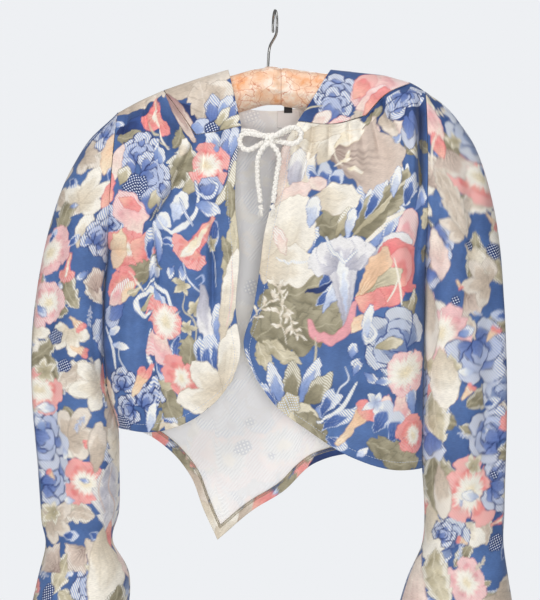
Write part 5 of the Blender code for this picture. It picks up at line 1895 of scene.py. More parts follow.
class Sewing:
    """Geometry Nodes trees that lay stitches and threads along paths."""

    def __init__(self) -> None:
        """Build both trees with their usual sizes."""
        sizes = {"Spacing": 0.0035, "Length": 0.0026, "Thickness": 0.0006}
        self.stitch_tree = self.make_tree("topstitch", sizes, self.stitches)
        self.thread_tree = self.make_tree("thread", {"Radius": 0.0003}, self.round_thread)

    @staticmethod
    def make_tree(name: str, sizes: dict[str, float], lay: Callable) -> Tree:
        """Build a tree that takes a path, sizes and a material.

        Args:
            name: Name of the tree.
            sizes: Named sizes with their usual values.
            lay: Adds the nodes that lay threads along the path.

        Returns:
            The tree.
        """
        tree = bpy.data.node_groups.new(name, "GeometryNodeTree")
        kinds = {"Path": "Geometry", **dict.fromkeys(sizes, "Float"), "Material": "Material"}
        for title, kind in kinds.items():
            socket = tree.interface.new_socket(title, in_out="INPUT", socket_type=f"NodeSocket{kind}")
            if title in sizes:
                socket.default_value = sizes[title]
        tree.interface.new_socket("Result", in_out="OUTPUT", socket_type="NodeSocketGeometry")
        add = partial(add_node, tree)
        given = add("NodeGroupInput").outputs
        laid = lay(add, given, add("GeometryNodeMeshToCurve", {"Mesh": given["Path"]}))
        real = add("GeometryNodeRealizeInstances", {"Geometry": laid})
        smooth = add("GeometryNodeSetShadeSmooth", {"Geometry": real})
        dressed = add("GeometryNodeSetMaterial", {"Geometry": smooth, "Material": given["Material"]})
        add("NodeGroupOutput", {"Result": dressed})
        return tree

    @staticmethod
    def stitches(add: partial, given: bpy.types.NodeOutputs, curve: Node) -> Node:
        """Set short plump stitches along a path.

        Args:
            add: Adds a node.
            given: The tree's inputs.
            curve: The path.

        Returns:
            The node that gives the stitches.
        """
        spaced = add("GeometryNodeResampleCurve", {"Curve": curve, "Length": given["Spacing"]}, mode="LENGTH")
        bead = add("GeometryNodeMeshUVSphere", {"Segments": 6, "Rings": 5, "Radius": 0.5})
        axes = {"X": given["Thickness"], "Y": given["Thickness"], "Z": given["Length"]}
        heading = add("GeometryNodeInputTangent")
        aim = add("FunctionNodeAlignRotationToVector", {"Vector": heading}, axis="Z")
        size = add("ShaderNodeCombineXYZ", axes)
        placing = {"Points": spaced, "Instance": bead, "Rotation": aim, "Scale": size}
        return add("GeometryNodeInstanceOnPoints", placing)

    @staticmethod
    def round_thread(add: partial, given: bpy.types.NodeOutputs, curve: Node) -> Node:
        """Run a round thread along a path, with the same arguments as stitches."""
        ring = add("GeometryNodeCurvePrimitiveCircle", {"Resolution": 5, "Radius": given["Radius"]})
        return add("GeometryNodeCurveToMesh", {"Curve": curve, "Profile Curve": ring, "Fill Caps": True})

    @staticmethod
    def run(name: str, paths: Sequence[Array], tree: Tree, material: Material, **sizes: float) -> Piece:
        """Run a tree along paths and keep the plain mesh.

        Args:
            name: Name of the piece.
            paths: Runs of points.
            tree: The tree.
            material: Material of the threads.
            sizes: Named sizes that differ from the usual ones.

        Returns:
            The piece.
        """
        carrier = bpy.data.meshes.new(f"{name}_path")
        edges, first = [], 0
        for path in paths:
            edges += [(first + i, first + i + 1) for i in range(len(path) - 1)]
            first += len(path)
        carrier.from_pydata([tuple(point) for path in paths for point in path], edges, [])
        item = bpy.data.objects.new(name, carrier)
        bpy.context.scene.collection.objects.link(item)
        modifier = item.modifiers.new("sewing", "NODES")
        modifier.node_group = tree
        given = {"Material": material, **sizes}
        for socket in tree.interface.items_tree:
            if socket.in_out == "INPUT" and socket.name in given:
                modifier[socket.identifier] = given[socket.name]
        applied(item)
        item.data.name = name
        return item

    def topstitch(self, name: str, paths: Sequence[Array]) -> Piece:
        """A row of topstitching along each path."""
        return self.run(f"{name}_topstitch", paths, self.stitch_tree, FINISHES.thread)


# Cord tie

@dataclass
class BowTie:
    """Cord tie at the neck: two braided cords, the wrap of the knot, and two knotted ends."""

    diameter: float = 0.0060
    pitch: float = 0.0115
    sample: float = 0.0008
    strand_out: float = 0.00152
    strand_sway: float = 0.00042
    strand_radius: float = 0.00164
    strand_sides: int = 8
    left_lead: tuple[Point, ...] = (
        (-0.0450, -0.0271, -0.1455), (-0.0370, -0.0274, -0.1455), (-0.0270, -0.0320, -0.1470),
        (-0.0126, -0.0395, -0.1523),
    )
    right_lead: tuple[Point, ...] = (
        (0.0310, -0.0262, -0.1405), (0.0210, -0.0270, -0.1430), (0.0125, -0.0310, -0.1470),
        (-0.0007, -0.0388, -0.1531),
    )
    left_loop: tuple[Point, ...] = (
        (-0.0146, -0.0464, -0.1529), (-0.0224, -0.0438, -0.1514), (-0.0318, -0.0400, -0.1496),
        (-0.0380, -0.0385, -0.1506), (-0.0412, -0.0380, -0.1556), (-0.0408, -0.0380, -0.1628),
        (-0.0370, -0.0385, -0.1676), (-0.0310, -0.0395, -0.1690), (-0.0248, -0.0405, -0.1664),
        (-0.0190, -0.0405, -0.1632), (-0.0146, -0.0400, -0.1608),
    )
    right_loop: tuple[Point, ...] = (
        (0.0014, -0.0463, -0.1522), (0.0060, -0.0440, -0.1494), (0.0114, -0.0410, -0.1456),
        (0.0183, -0.0392, -0.1428), (0.0258, -0.0384, -0.1434), (0.0302, -0.0384, -0.1482),
        (0.0300, -0.0388, -0.1552), (0.0252, -0.0394, -0.1602), (0.0183, -0.0400, -0.1618),
        (0.0114, -0.0404, -0.1606), (0.0060, -0.0404, -0.1594), (0.0013, -0.0402, -0.1588),
    )
    left_tail: tuple[Point, ...] = (
        (-0.0104, -0.0473, -0.1632), (-0.0160, -0.0482, -0.1702), (-0.0196, -0.0460, -0.1780),
        (-0.0208, -0.0430, -0.1880), (-0.0206, -0.0415, -0.1980), (-0.0201, -0.0410, -0.2090),
        (-0.0184, -0.0410, -0.2200), (-0.0172, -0.0410, -0.2320),
    )
    right_tail: tuple[Point, ...] = (
        (-0.0034, -0.0459, -0.1639), (0.0016, -0.0470, -0.1702), (0.0044, -0.0462, -0.1770),
        (0.0044, -0.0446, -0.1850), (0.0026, -0.0440, -0.1935), (0.0010, -0.0440, -0.2045),
        (-0.0006, -0.0446, -0.2170), (-0.0024, -0.0450, -0.2320),
    )
    knot: Point = (-0.0066, -0.0430, -0.1563)
    knot_wrap: Point = (0.0048, 0.0036, 0.0048)
    knot_share: float = 0.9
    left_end: Point = (-0.0168, -0.0410, -0.2408)
    right_end: Point = (-0.0028, -0.0458, -0.2408)
    end_half_height: float = 0.0078
    end_coil: Point = (0.0017, 0.0014, 0.0058)
    end_rise: float = 0.0022
    end_share: float = 0.66
    fibres: int = 26
    fibre_radius: float = 0.00030
    fibre_sides: int = 5
    fibre_step: float = 0.0012
    fibre_spread: float = 0.0012
    fibre_swing: Point = (0.0016, 0.0014, 0.0)
    fibre_stray: float = 0.0006

    def braid(self, line: Array, share: float = 1.0) -> tuple[MeshParts, Array]:
        """Braid four plump strands round a line.

        Args:
            line: Points of the cord's middle line.
            share: Thickness of this stretch as a share of the cord's.

        Returns:
            The strands, and the evenly spaced path they follow.
        """
        path, parts = resampled(line, self.sample), MeshParts()
        _, across, other = path_frames(path)
        reach = running(path)
        close = np.minimum(reach, reach[-1] - reach) / (0.3 * share * self.diameter) + 0.25
        close = np.minimum(1.0, close)
        for direction in (1.0, -1.0):
            for start in (0.0, math.pi):
                turn = direction * math.tau * reach / (self.pitch * share) + start
                out = share * self.strand_out + direction * share * self.strand_sway * np.cos(2.0 * turn)
                lean = turn + 0.25 * math.pi
                radial = np.cos(lean)[:, None] * across + np.sin(lean)[:, None] * other
                strand = path + radial * (out * close)[:, None]
                parts.tube(round_tube(strand, share * self.strand_radius * close, self.strand_sides))
        return parts, path

    def wrap(self) -> MeshParts:
        """Make the turn of cord that holds the bow.

        Returns:
            Its strands.
        """
        turn = np.linspace(-0.5 * math.pi, 2.7 * math.pi, 90)
        turns = np.stack([np.linspace(-0.9, 0.9, len(turn)), -np.cos(turn), np.sin(turn)], axis=1)
        return self.braid(np.array(self.knot) + np.array(self.knot_wrap) * turns, self.knot_share)[0]

    def knotted_end(self, centre: Point, seed: int) -> MeshParts:
        """Make an overhand knot with a short frayed end under it.

        Args:
            centre: Middle of the end.
            seed: Seed of its fibres.

        Returns:
            Its strands and fibres.
        """
        turn = np.linspace(0.0, 2.6 * math.pi, 60)
        upper = centre[2] + 0.55 * self.end_half_height
        wide, deep, fall = self.end_coil
        height = upper + self.end_rise - fall * turn / turn[-1]
        coil = np.stack([centre[0] + wide * np.cos(turn), centre[1] + deep * np.sin(turn), height], axis=1)
        parts, _ = self.braid(coil, self.end_share)
        rng = np.random.default_rng(seed)
        root = np.array([centre[0], centre[1], upper - self.end_rise])
        for _ in range(self.fibres):
            side = np.append(rng.uniform(-1.0, 1.0, 2), 0.0)
            top = root + self.fibre_spread * side
            drop = rng.uniform(0.75, 1.0) * (top[2] - centre[2] + self.end_half_height)
            swing = np.array(self.fibre_swing) * side + self.fibre_stray * rng.normal(size=3)
            middle = top + 0.55 * swing + np.array([0.0, 0.0, -0.5 * drop])
            tip = top + swing + np.array([0.0, 0.0, -drop])
            fibre = resampled(np.array([top, middle, tip]), self.fibre_step)
            taper = self.fibre_radius * np.linspace(1.0, 0.5, len(fibre))
            parts.tube(round_tube(fibre, taper, self.fibre_sides))
        return parts

    def build(self) -> None:
        """Make the tie: the wrap of its knot and its two cords with their knotted ends."""
        knot = self.wrap().build("tie_knot_wrap", FINISHES.cord)
        tie_in(knot, "cord_cream", "tie_knot")
        left = (self.left_lead, self.right_loop, self.left_tail)
        right = (self.right_lead, self.left_loop, self.right_tail)
        routes = (
            ("left", left, self.left_end, "tie_right_loop", [knot], 21),
            ("right", right, self.right_end, "tie_left_loop", [], 22),
        )
        for side, stretches, end, loop, held, seed in routes:
            parts, path = self.braid(np.concatenate(stretches))
            piece = parts.build(f"tie_{side}_cord", FINISHES.cord)
            tie_in(piece, "cord_cream", f"tie_{side}_lead", loop, f"tie_{side}_tail")
            tip = self.knotted_end(end, seed).build(f"tie_{side}_knotted_end", FINISHES.cord)
            tie_in(tip, "cord_cream", f"tie_{side}_end")


# Hanger

@dataclass
class PaddedHanger:
    """Satin-covered padded hanger with a plated wire hook."""

    centre_x: float = -0.0084
    half_span: float = 0.172
    half_height: float = 0.0234
    half_depth: float = 0.0205
    top: float = -0.0645
    arm_drop: float = 0.0336
    arm_reach: float = 0.1625
    arm_power: float = 0.8
    crown_round: float = 0.010
    end_power: float = 14.0
    end_hold: float = 0.008
    tilt: float = 0.0955
    seam_depth: float = 0.0006
    seam_width: float = 0.0026
    gather: float = 0.0009
    gather_reach: float = 0.016
    rings: int = 301
    sides: int = 72
    # Stuffing: remeshed cover, a little small, swollen by pressure with spare cloth that puckers
    voxel: float = 0.0033
    slack: float = 0.0008
    # Small faces take a small force each, so the pressure is higher than a seat cushion's
    pressure: float = 40.0
    spare: float = 0.07
    swell_cap: float = 0.0040
    frames: int = 20
    fill: float = 0.7
    wire: float = 0.0032
    wire_sides: int = 16
    wire_step: float = 0.0012
    hook_radius: float = 0.0170
    hook_turn: float = math.radians(8.0)
    stem_depth: float = 0.002
    stem_top: Point = (-0.0062, 0.0, -0.0420)
    arc: tuple[float, float] = (math.radians(-40.0), math.radians(205.0))

    def upper_line(self, reach: Array) -> Array:
        """Height of the pad's upper line at a distance along the hanger."""
        length = np.sqrt(reach * reach + self.crown_round ** 2) - self.crown_round
        return self.top - self.arm_drop * (length / self.arm_reach) ** self.arm_power + self.tilt * reach

    def plain_cover(self) -> Piece:
        """Make the smooth cover, a little smaller than the stuffed one.

        Returns:
            The cover.
        """
        share = np.sin(np.linspace(-0.5 * math.pi, 0.5 * math.pi, self.rings))[:, None]
        share = 0.5 * share + 0.5 * np.linspace(-1.0, 1.0, self.rings)[:, None]
        turn = np.linspace(0.0, math.tau, self.sides, endpoint=False)[None, :]
        swell = np.sqrt(np.maximum(0.0, 1.0 - np.abs(share) ** self.end_power)) + 1e-4
        reach = share * (self.half_span - self.slack)
        y = -(self.half_depth - self.slack) * swell * np.cos(turn)
        z = self.upper_line(reach) - self.half_height + (self.half_height - self.slack) * swell * np.sin(turn)
        parts = MeshParts()
        parts.tube(np.stack([self.centre_x + reach + 0.0 * turn, y, z], axis=-1)[:, ::-1])
        return parts.build("padded_hanger_cover", FINISHES.satin)

    def stuff(self, piece: Piece) -> None:
        """Swell the cover by simulated pressure, with its middle seam and its ends held.

        Args:
            piece: The plain cover, changed in place.
        """
        even = piece.modifiers.new("even", "REMESH")
        even.mode = "VOXEL"
        even.voxel_size = self.voxel
        applied(piece)
        start = points_of(piece.data)
        from_seam = np.abs(start[:, 0] - PAD_SEAM_X)
        from_middle = np.abs(start[:, 0] - self.centre_x)
        firm = (from_seam < self.seam_width) | (from_middle > self.half_span - self.end_hold)
        held = piece.vertex_groups.new(name="held")
        held.add(np.flatnonzero(firm).tolist(), 1.0, "REPLACE")
        cloth = piece.modifiers.new("stuffing", "CLOTH")
        cloth.settings.vertex_group_mass = held.name
        cloth.settings.use_pressure = True
        cloth.settings.uniform_pressure_force = self.pressure
        cloth.settings.shrink_min = -self.spare
        cloth.settings.effector_weights.gravity = 0.0
        cloth.collision_settings.use_collision = False
        for number in range(1, self.frames + 1):
            bpy.context.scene.frame_set(number)
        graph = bpy.context.evaluated_depsgraph_get()
        move = points_of(piece.evaluated_get(graph).data) - start
        length = np.linalg.norm(move, axis=1, keepdims=True)
        move *= np.minimum(1.0, self.swell_cap / np.maximum(length, 1e-9))
        LOG.info("pad swells by %.1f mm, at most %.1f", MM * np.median(length), MM * length.max())
        piece.modifiers.clear()
        piece.vertex_groups.clear()
        bpy.context.scene.frame_set(1)
        piece.data.vertices.foreach_set("co", (start + move).astype(np.float32).ravel())
        finer = piece.modifiers.new("finer", "SUBSURF")
        finer.levels = 1
        applied(piece)

    def sew(self, piece: Piece) -> None:
        """Draw the middle seam in and gather the satin along it.

        Args:
            piece: The stuffed cover, changed in place.
        """
        points = points_of(piece.data)
        away = points[:, 0] - PAD_SEAM_X
        middle = self.upper_line(points[:, 0] - self.centre_x) - self.half_height
        turn = np.arctan2(points[:, 2] - middle, -points[:, 1])
        dent = self.seam_depth * np.exp(-(away / self.seam_width) ** 2)
        pleats = np.sin(9.0 * turn + 2.0 * np.sin(3.0 * turn)) * np.exp(-(np.abs(away) / self.gather_reach))
        size = 1.0 + (self.gather * pleats - dent) / self.half_depth
        points[:, 1] *= size
        points[:, 2] = middle + (points[:, 2] - middle) * size
        piece.data.vertices.foreach_set("co", points.astype(np.float32).ravel())
        piece.data.shade_smooth()

    def hook(self) -> Piece:
        """Make the leaning stem and crook of the hook, with a rounded tip.

        Returns:
            The hook.
        """
        angles = np.linspace(*self.arc, 19)
        out = self.hook_radius * np.cos(angles)
        height = self.wire / 2.0 - self.hook_radius + self.hook_radius * np.sin(angles)
        crook = np.stack([out * math.sin(self.hook_turn), -out * math.cos(self.hook_turn), height], axis=1)
        foot = float(self.upper_line(np.array(0.0))) - self.stem_depth
        line = resampled(np.concatenate([[(self.centre_x, 0.0, foot), self.stem_top], crook]), self.wire_step)
        reach = running(line)
        left = unit((reach[-1] - reach) / (0.5 * self.wire))
        radius = 0.5 * self.wire * np.sqrt(np.maximum(1.0 - (1.0 - left) ** 2, 0.02))
        parts = MeshParts()
        parts.tube(round_tube(line, radius, self.wire_sides))
        return parts.build("plated_hook", FINISHES.wire)

    def build(self) -> None:
        """Make the stuffed cover and the hook."""
        pad = self.plain_cover()
        self.stuff(pad)
        self.sew(pad)
        tie_in(pad, "satin_peach", "hanger_pad")
        tie_in(self.hook(), "hook_steel", "hanger_hook")


# Jacket

@dataclass
class Front:
    """One open front, gathered to its yoke, with a stitched front edge and hem."""

    half: Half
    folds: Folds
    artwork: Artwork
    columns: int
    rows: int
    seed: int
    top_shares: tuple[float, float, float] = (0.36, 0.28, 0.36)
    top_fade: float = 0.012
    hem_width: float = 0.0105
    hem_extra: float = 0.0006

    def panel(self) -> Panel:
        """Shape the front as it hangs.

        Returns:
            The panel.
        """
        half = self.half
        top = joined_curve(half.ridge_outer, half.yoke_outer, half.yoke_lower, shares=self.top_shares)
        across = snapped(np.linspace(0.0, 1.0, self.columns) ** 1.1, np.cumsum(self.top_shares)[:2])
        down = np.linspace(0.0, 1.0, self.rows) ** 1.15
        hem, opening = joined_curve(half.hem), joined_curve(half.front_edge)
        flat = patch(top, hem, FORM.side_border(half), opening, across, down)
        x, z = flat[..., 0], flat[..., 1]
        edge_x, edge_depth = FORM.side_edge(half, z)
        away = np.abs(x - edge_x)
        depth = FORM.rounded(FORM.depth(x, z, 1), edge_depth, away)
        fade = unit(away / FORM.fold_inset) * unit(down / self.top_fade)[:, None]
        depth = depth + FORM.creased(x, z, self.folds, self.seed) * fade
        points = np.stack([x, -np.maximum(depth, FORM.least_depth), z], axis=-1)
        return Panel(f"{half.name}_front", points, half.outward)

    def build(self, sewing: Sewing) -> None:
        """Args:
            sewing: Sews its edges.
        """
        panel = self.panel()
        rows = panel.hem((Edge.BOTTOM, Edge.LAST), self.hem_width, self.hem_extra)
        piece = printed(panel, self.seed, self.artwork)
        stitches = sewing.topstitch(panel.name, rows)
        dress(panel, piece, "print_cloth", [stitches])


@dataclass
class Yoke:
    """One shoulder yoke, from the shoulder line down to the seam with its front."""

    half: Half
    artwork: Artwork
    seed: int
    columns: int = 81
    rows: int = 81
    seam_lift: float = 0.0009
    top_fade: float = 0.1
    wrinkle_share: float = 0.8

    def panel(self) -> Panel:
        """Shape the yoke as it lies over the hanger.

        Returns:
            The panel.
        """
        half = self.half
        down = np.linspace(0.0, 1.0, self.rows) ** 1.3
        borders = map(joined_curve, (half.ridge_inner, half.yoke_lower, half.yoke_outer, half.neck))
        flat = patch(*borders, np.linspace(0.0, 1.0, self.columns), down)
        inset = np.linspace(1.0, 0.0, self.columns)[None, :]
        x = flat[..., 0] - half.outward * self.seam_lift * inset
        z = np.minimum(flat[..., 1] + self.seam_lift * down[:, None], FORM.ridge_height(x))
        fade = unit(down / self.top_fade)[:, None]
        depth = FORM.depth(x, z, 1) + self.wrinkle_share * FORM.creased(x, z, (), self.seed) * fade
        points = np.stack([x, -np.maximum(depth, FORM.least_depth), z], axis=-1)
        return Panel(f"{half.name}_yoke", points, half.outward)

    def build(self) -> None:
        panel = self.panel()
        dress(panel, printed(panel, self.seed, self.artwork), "yoke_cloth")


@dataclass
class Back:
    """The back, seen from inside, with a turned-up and overlocked hem."""

    columns: int = 189
    rows: int = 225
    band_rows: int = 8
    seed: int = 31
    band_seed: int = 34
    neck: Outline = ((-0.056, -0.070), (-0.046, -0.108), (-0.011, -0.1155), (0.042, -0.105), (0.067, -0.070))
    hem_left: Outline = (
        (-0.186, -0.498), (-0.158, -0.508), (-0.128, -0.529), (-0.103, -0.560), (-0.087, -0.601),
        (-0.070, -0.638),
    )
    hem_right: Outline = (
        (-0.070, -0.638), (-0.026, -0.601), (0.010, -0.579), (0.046, -0.546), (0.090, -0.533),
        (0.140, -0.537), (0.176, -0.546),
    )
    hem_shares: tuple[float, float] = (0.36, 0.64)
    hem_marks: tuple[int, int] = (8, 14)
    top_shares: tuple[float, float, float] = (0.36, 0.30, 0.34)
    top_fade: float = 0.04
    turn_width: float = 0.011
    turn_lift: float = 0.0021
    turn_span: tuple[float, float] = (0.109, 0.891)
    turn_at_side: float = 0.95
    band_thickness: float = 0.0012
    # Scattered motifs of the back and the band, in millimetres, and the soft edge of the back's dyes
    spacing: float = 62.0
    band_spacing: float = 34.0
    soft_edge: float = 1.9
    overlock_reach: float = 0.0040
    overlock_lift: float = 0.0003
    overlock_over: float = 0.0006
    overlock_step: float = 0.0011
    overlock_radius: float = 0.00026

    def hem_lines(self) -> tuple[Curve, Curve]:
        """Draw the hem.

        Returns:
            Its fold, and the line that its turned-up edge reaches.
        """
        fold = joined_curve(self.hem_left, self.hem_right, shares=self.hem_shares)
        corner, (left, right) = self.hem_shares[0], self.hem_marks
        marks = np.concatenate([np.linspace(0.0, corner, left), np.linspace(corner, 1.0, right)[1:]])
        turned = inward_line(fold(marks), self.turn_width)
        for end, half in ((0, LEFT), (-1, RIGHT)):
            turned[end] = smooth_curve(half.side, np.array([self.turn_at_side]))[0]
        return fold, joined_curve(turned[:left], turned[left - 1:], shares=self.hem_shares)

    def panel(self) -> Panel:
        """Shape the back as it hangs.

        Returns:
            The panel, with the hem's fold as its last row.
        """
        fold, turned = self.hem_lines()
        even = np.linspace(0.0, 1.0, self.columns)
        spread = snapped(0.6 * even + 0.2 * (1.0 - np.cos(math.pi * even)), np.cumsum(self.top_shares)[:2])
        left_top = LEFT.ridge_outer + LEFT.ridge_inner[1:]
        right_top = RIGHT.ridge_inner[::-1] + RIGHT.ridge_outer[::-1][1:]
        top = joined_curve(left_top, self.neck, right_top, shares=self.top_shares)
        ends = turned(np.array([0.0, 1.0]))
        sides = FORM.side_border(LEFT, ends[0]), FORM.side_border(RIGHT, ends[1])
        flat = patch(top, turned, *sides, spread, np.linspace(0.0, 1.0, self.rows) ** 1.2)
        steps = np.linspace(0.0, 1.0, self.band_rows + 1)[1:, None, None]
        flat = np.concatenate([flat, turned(spread)[None] * (1.0 - steps) + fold(spread)[None] * steps])
        x, z = flat[..., 0], flat[..., 1]
        left_x, left_depth = FORM.side_edge(LEFT, z)
        right_x, right_depth = FORM.side_edge(RIGHT, z)
        fade = unit((x - left_x) / FORM.side_round) * unit((right_x - x) / FORM.side_round)
        fade = fade * unit((FORM.ridge_height(x) - z) / self.top_fade)
        depth = FORM.depth(x, z, 2) - FORM.creased(x, z, BACK_FOLDS, self.seed) * fade
        depth = FORM.rounded(depth, left_depth, x - left_x)
        depth = FORM.rounded(depth, right_depth, right_x - x)
        points = np.stack([x, np.maximum(depth, FORM.least_depth), z], axis=-1)
        return Panel("back", points, 1.0, inner_step=1, anchor=self.columns // 2)

    def turned_hem(self, panel: Panel) -> Panel:
        """Shape the turned-up band, in front of the back's lowest rows.

        Args:
            panel: The back.

        Returns:
            The band.
        """
        first, last = (round(share * (self.columns - 1)) for share in self.turn_span)
        last += (last - first) % 2
        rows = panel.points[-self.band_rows - 1:, first:last + 1]
        rise = np.linspace(1.0, 0.75, len(rows))[:, None, None] * np.array([0.0, -self.turn_lift, 0.0])
        return Panel("back_hem", rows + rise, -1.0, thickness=self.band_thickness)

    def overlock(self, band: Panel, sewing: Sewing) -> Piece:
        """Sew the zigzag of the overlock over the band's raw edge.

        Args:
            band: The turned-up band.
            sewing: Sews the threads.

        Returns:
            The threads.
        """
        inner, border = (
            band.inside_line(Edge.TOP, reach, self.overlock_lift) for reach in (self.overlock_reach, 0.0)
        )
        inside = resampled(inner, self.overlock_step)
        outside = resampled(border + np.array([0.0, 0.0, self.overlock_over]), self.overlock_step)
        count = min(len(inside), len(outside))
        odd = (np.arange(count) % 2 == 1)[:, None]
        zigzag = np.where(odd, outside[:count], inside[:count])
        looped = np.where(odd, inside[:count], outside[:count])
        return sewing.run(
            "back_hem_overlock", [zigzag, inside, outside, looped], sewing.thread_tree, FINISHES.overlock,
            Radius=self.overlock_radius,
        )

    def build(self, sewing: Sewing) -> None:
        """Args:
            sewing: Sews the overlock.
        """
        panel = self.panel()
        piece = printed(panel, self.seed, spacing=self.spacing, soft_edge=self.soft_edge)
        band = self.turned_hem(panel)
        turned = printed(band, self.band_seed, HEM_PRINT, self.band_spacing)
        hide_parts(band.name)
        dress(panel, piece, "print_cloth", [turned, self.overlock(band, sewing)])


# Lengthwise folds of a sleeve: angle round it in degrees, first and last ring, half width in degrees, height
SLEEVE_FOLDS = (
    (60.0, 2.0, 8.5, 22.0, -0.005), (120.0, 3.0, 10.5, 20.0, 0.004), (230.0, 2.5, 9.0, 24.0, -0.005),
    (305.0, 2.0, 10.0, 20.0, 0.004), (90.0, 9.2, 11.5, 18.0, -0.007), (200.0, 9.2, 11.5, 20.0, 0.006),
    (320.0, 9.2, 11.5, 18.0, -0.006), (150.0, 1.2, 6.0, 9.0, 0.003), (30.0, 4.0, 9.5, 10.0, 0.003),
    (265.0, 3.0, 8.0, 9.0, 0.003), (340.0, 1.5, 6.5, 10.0, -0.003),
)
# Rings of a sleeve from armhole to hem: outer x, outer z, inner x, inner z, depth
Rings = tuple[tuple[float, float, float, float, float], ...]
LEFT_RINGS: Rings = (
    (-0.187, -0.121, -0.1990, -0.286, 0.038), (-0.208, -0.141, -0.2008, -0.299, 0.039),
    (-0.230, -0.166, -0.2026, -0.318, 0.040), (-0.256, -0.214, -0.2048, -0.346, 0.041),
    (-0.276, -0.288, -0.2056, -0.388, 0.041), (-0.289, -0.380, -0.2032, -0.440, 0.040),
    (-0.290, -0.466, -0.1893, -0.492, 0.040), (-0.284, -0.545, -0.1880, -0.547, 0.039),
    (-0.279, -0.604, -0.1880, -0.598, 0.037), (-0.274, -0.636, -0.1950, -0.633, 0.034),
    (-0.284, -0.676, -0.1790, -0.674, 0.041), (-0.297, -0.739, -0.1830, -0.739, 0.048),
)
RIGHT_RINGS: Rings = (
    (0.179, -0.096, 0.1800, -0.286, 0.038), (0.196, -0.109, 0.1800, -0.296, 0.039),
    (0.219, -0.131, 0.1798, -0.312, 0.040), (0.243, -0.170, 0.1794, -0.342, 0.041),
    (0.260, -0.228, 0.1788, -0.380, 0.041), (0.271, -0.306, 0.1778, -0.425, 0.041),
    (0.276, -0.400, 0.1768, -0.475, 0.040), (0.277, -0.502, 0.1768, -0.540, 0.039),
    (0.275, -0.596, 0.1800, -0.606, 0.037), (0.272, -0.634, 0.1780, -0.636, 0.035),
    (0.279, -0.676, 0.1640, -0.676, 0.041), (0.289, -0.739, 0.1450, -0.739, 0.048),
)


@dataclass
class Sleeve:
    """One long sleeve set into its armhole and flared below the wrist."""

    half: Half
    rings: Rings
    artwork: Artwork
    seed: int
    around: int = 220
    rows: int = 343
    clearance: float = 0.0008
    bunching: float = 0.2
    axis_inset: float = 0.014
    radius: float = 0.0440
    cuff_radius: float = 0.0525
    # Heights of the cuff's hem, the wrist and the arm above it
    cuff_heights: Point = (-0.74, -0.66, -0.60)
    fade_rings: float = 1.5
    uneven: float = 0.018
    hem_width: float = 0.012
    hem_extra: float = 0.0005
    spacing: float = 58.0
    soft_edge: float = 1.9

    def swell(self, at_row: Array, angles: Array) -> Array:
        """Work out the folds and the unevenness of the sleeve.

        Args:
            at_row: Ring number of each row.
            angles: Angle round the sleeve of each column.

        Returns:
            The size of every point as a share of the plain sleeve's.
        """
        swell = np.ones((self.rows, self.around))
        for angle, first, last, half_width, height in SLEEVE_FOLDS:
            turn = (np.degrees(angles) - angle + 180.0) % 360.0 - 180.0
            fade = unit((at_row - first) / self.fade_rings) * unit((last - at_row) / self.fade_rings)
            swell += fade[:, None] * np.exp(-(turn / half_width) ** 2) * height / FORM.armhole_depth
        row = at_row[:, None]
        places = np.stack([np.sin(angles) + 0.0 * row, 0.35 * row + np.cos(angles)], axis=-1)
        return swell + self.uneven * ripple(places, 0.9, self.seed) * unit(row)

    def panel(self) -> Panel:
        """Shape the sleeve as it hangs.

        Returns:
            The panel.
        """
        table = np.array(self.rings)
        table[0, [0, 2]] += self.half.outward * self.clearance
        reach = running(0.5 * (table[:, 0:2] + table[:, 2:4]))
        at_row = np.interp(np.linspace(0.0, reach[-1], self.rows), reach, np.arange(len(table)))
        slopes = np.gradient(table, axis=0)
        index = np.clip(at_row.astype(int), 0, len(table) - 2)
        t = (at_row - index)[:, None]
        sizes = between(table[index], table[index + 1], slopes[index], slopes[index + 1], t)
        angles = np.linspace(-math.pi, math.pi, self.around)
        angles = angles + self.bunching * np.sin(2.0 * angles)
        centre, arm = 0.5 * (sizes[:, 0:2] + sizes[:, 2:4]), 0.5 * (sizes[:, 0:2] - sizes[:, 2:4])
        swell = self.swell(at_row, angles)
        cosine, sine = np.cos(angles) * swell, np.sin(angles) * swell
        x, z = (centre[:, i:i + 1] + arm[:, i:i + 1] * cosine for i in range(2))
        points = np.stack([x, -sizes[:, 4:5] * sine, z], axis=-1)
        points[:, -1] = points[:, 0]
        panel = Panel(f"{self.half.name}_sleeve", points, self.half.outward, tube=True, inner_step=3)
        panel.flat = self.laid_flat(points)
        return panel

    def laid_flat(self, points: Array) -> Array:
        """Open the sleeve along its inner seam and lay it flat.

        Args:
            points: Points of the hung sleeve.

        Returns:
            Place of each point on the flat cloth: round the sleeve's axis, and height.
        """
        table = np.array(self.rings)
        middles = 0.5 * (table[:, 0:2] + table[:, 2:4])
        shoulder = np.array([middles[0, 0] - self.half.outward * self.axis_inset, table[0, 1]])
        axis = np.concatenate([shoulder[None], middles])[::-1]
        x, y, z = points[..., 0], points[..., 1], points[..., 2]
        away = self.half.outward * (x - np.interp(z, axis[:, 1], axis[:, 0]))
        turn = np.unwrap(np.arctan2(-y, away), axis=1)
        turn -= math.tau * np.round(turn.mean(axis=1, keepdims=True) / math.tau)
        girth = np.interp(z, self.cuff_heights, [self.cuff_radius, self.radius, self.radius])
        return np.stack([-self.half.outward * girth * turn, z], axis=-1)

    def build(self, sewing: Sewing) -> None:
        """Args:
            sewing: Sews its hem.
        """
        panel = self.panel()
        rows = panel.hem((Edge.BOTTOM,), self.hem_width, self.hem_extra)
        piece = printed(panel, self.seed, self.artwork, self.spacing, self.soft_edge)
        stitches = sewing.topstitch(panel.name, rows)
        dress(panel, piece, "print_cloth", [stitches])


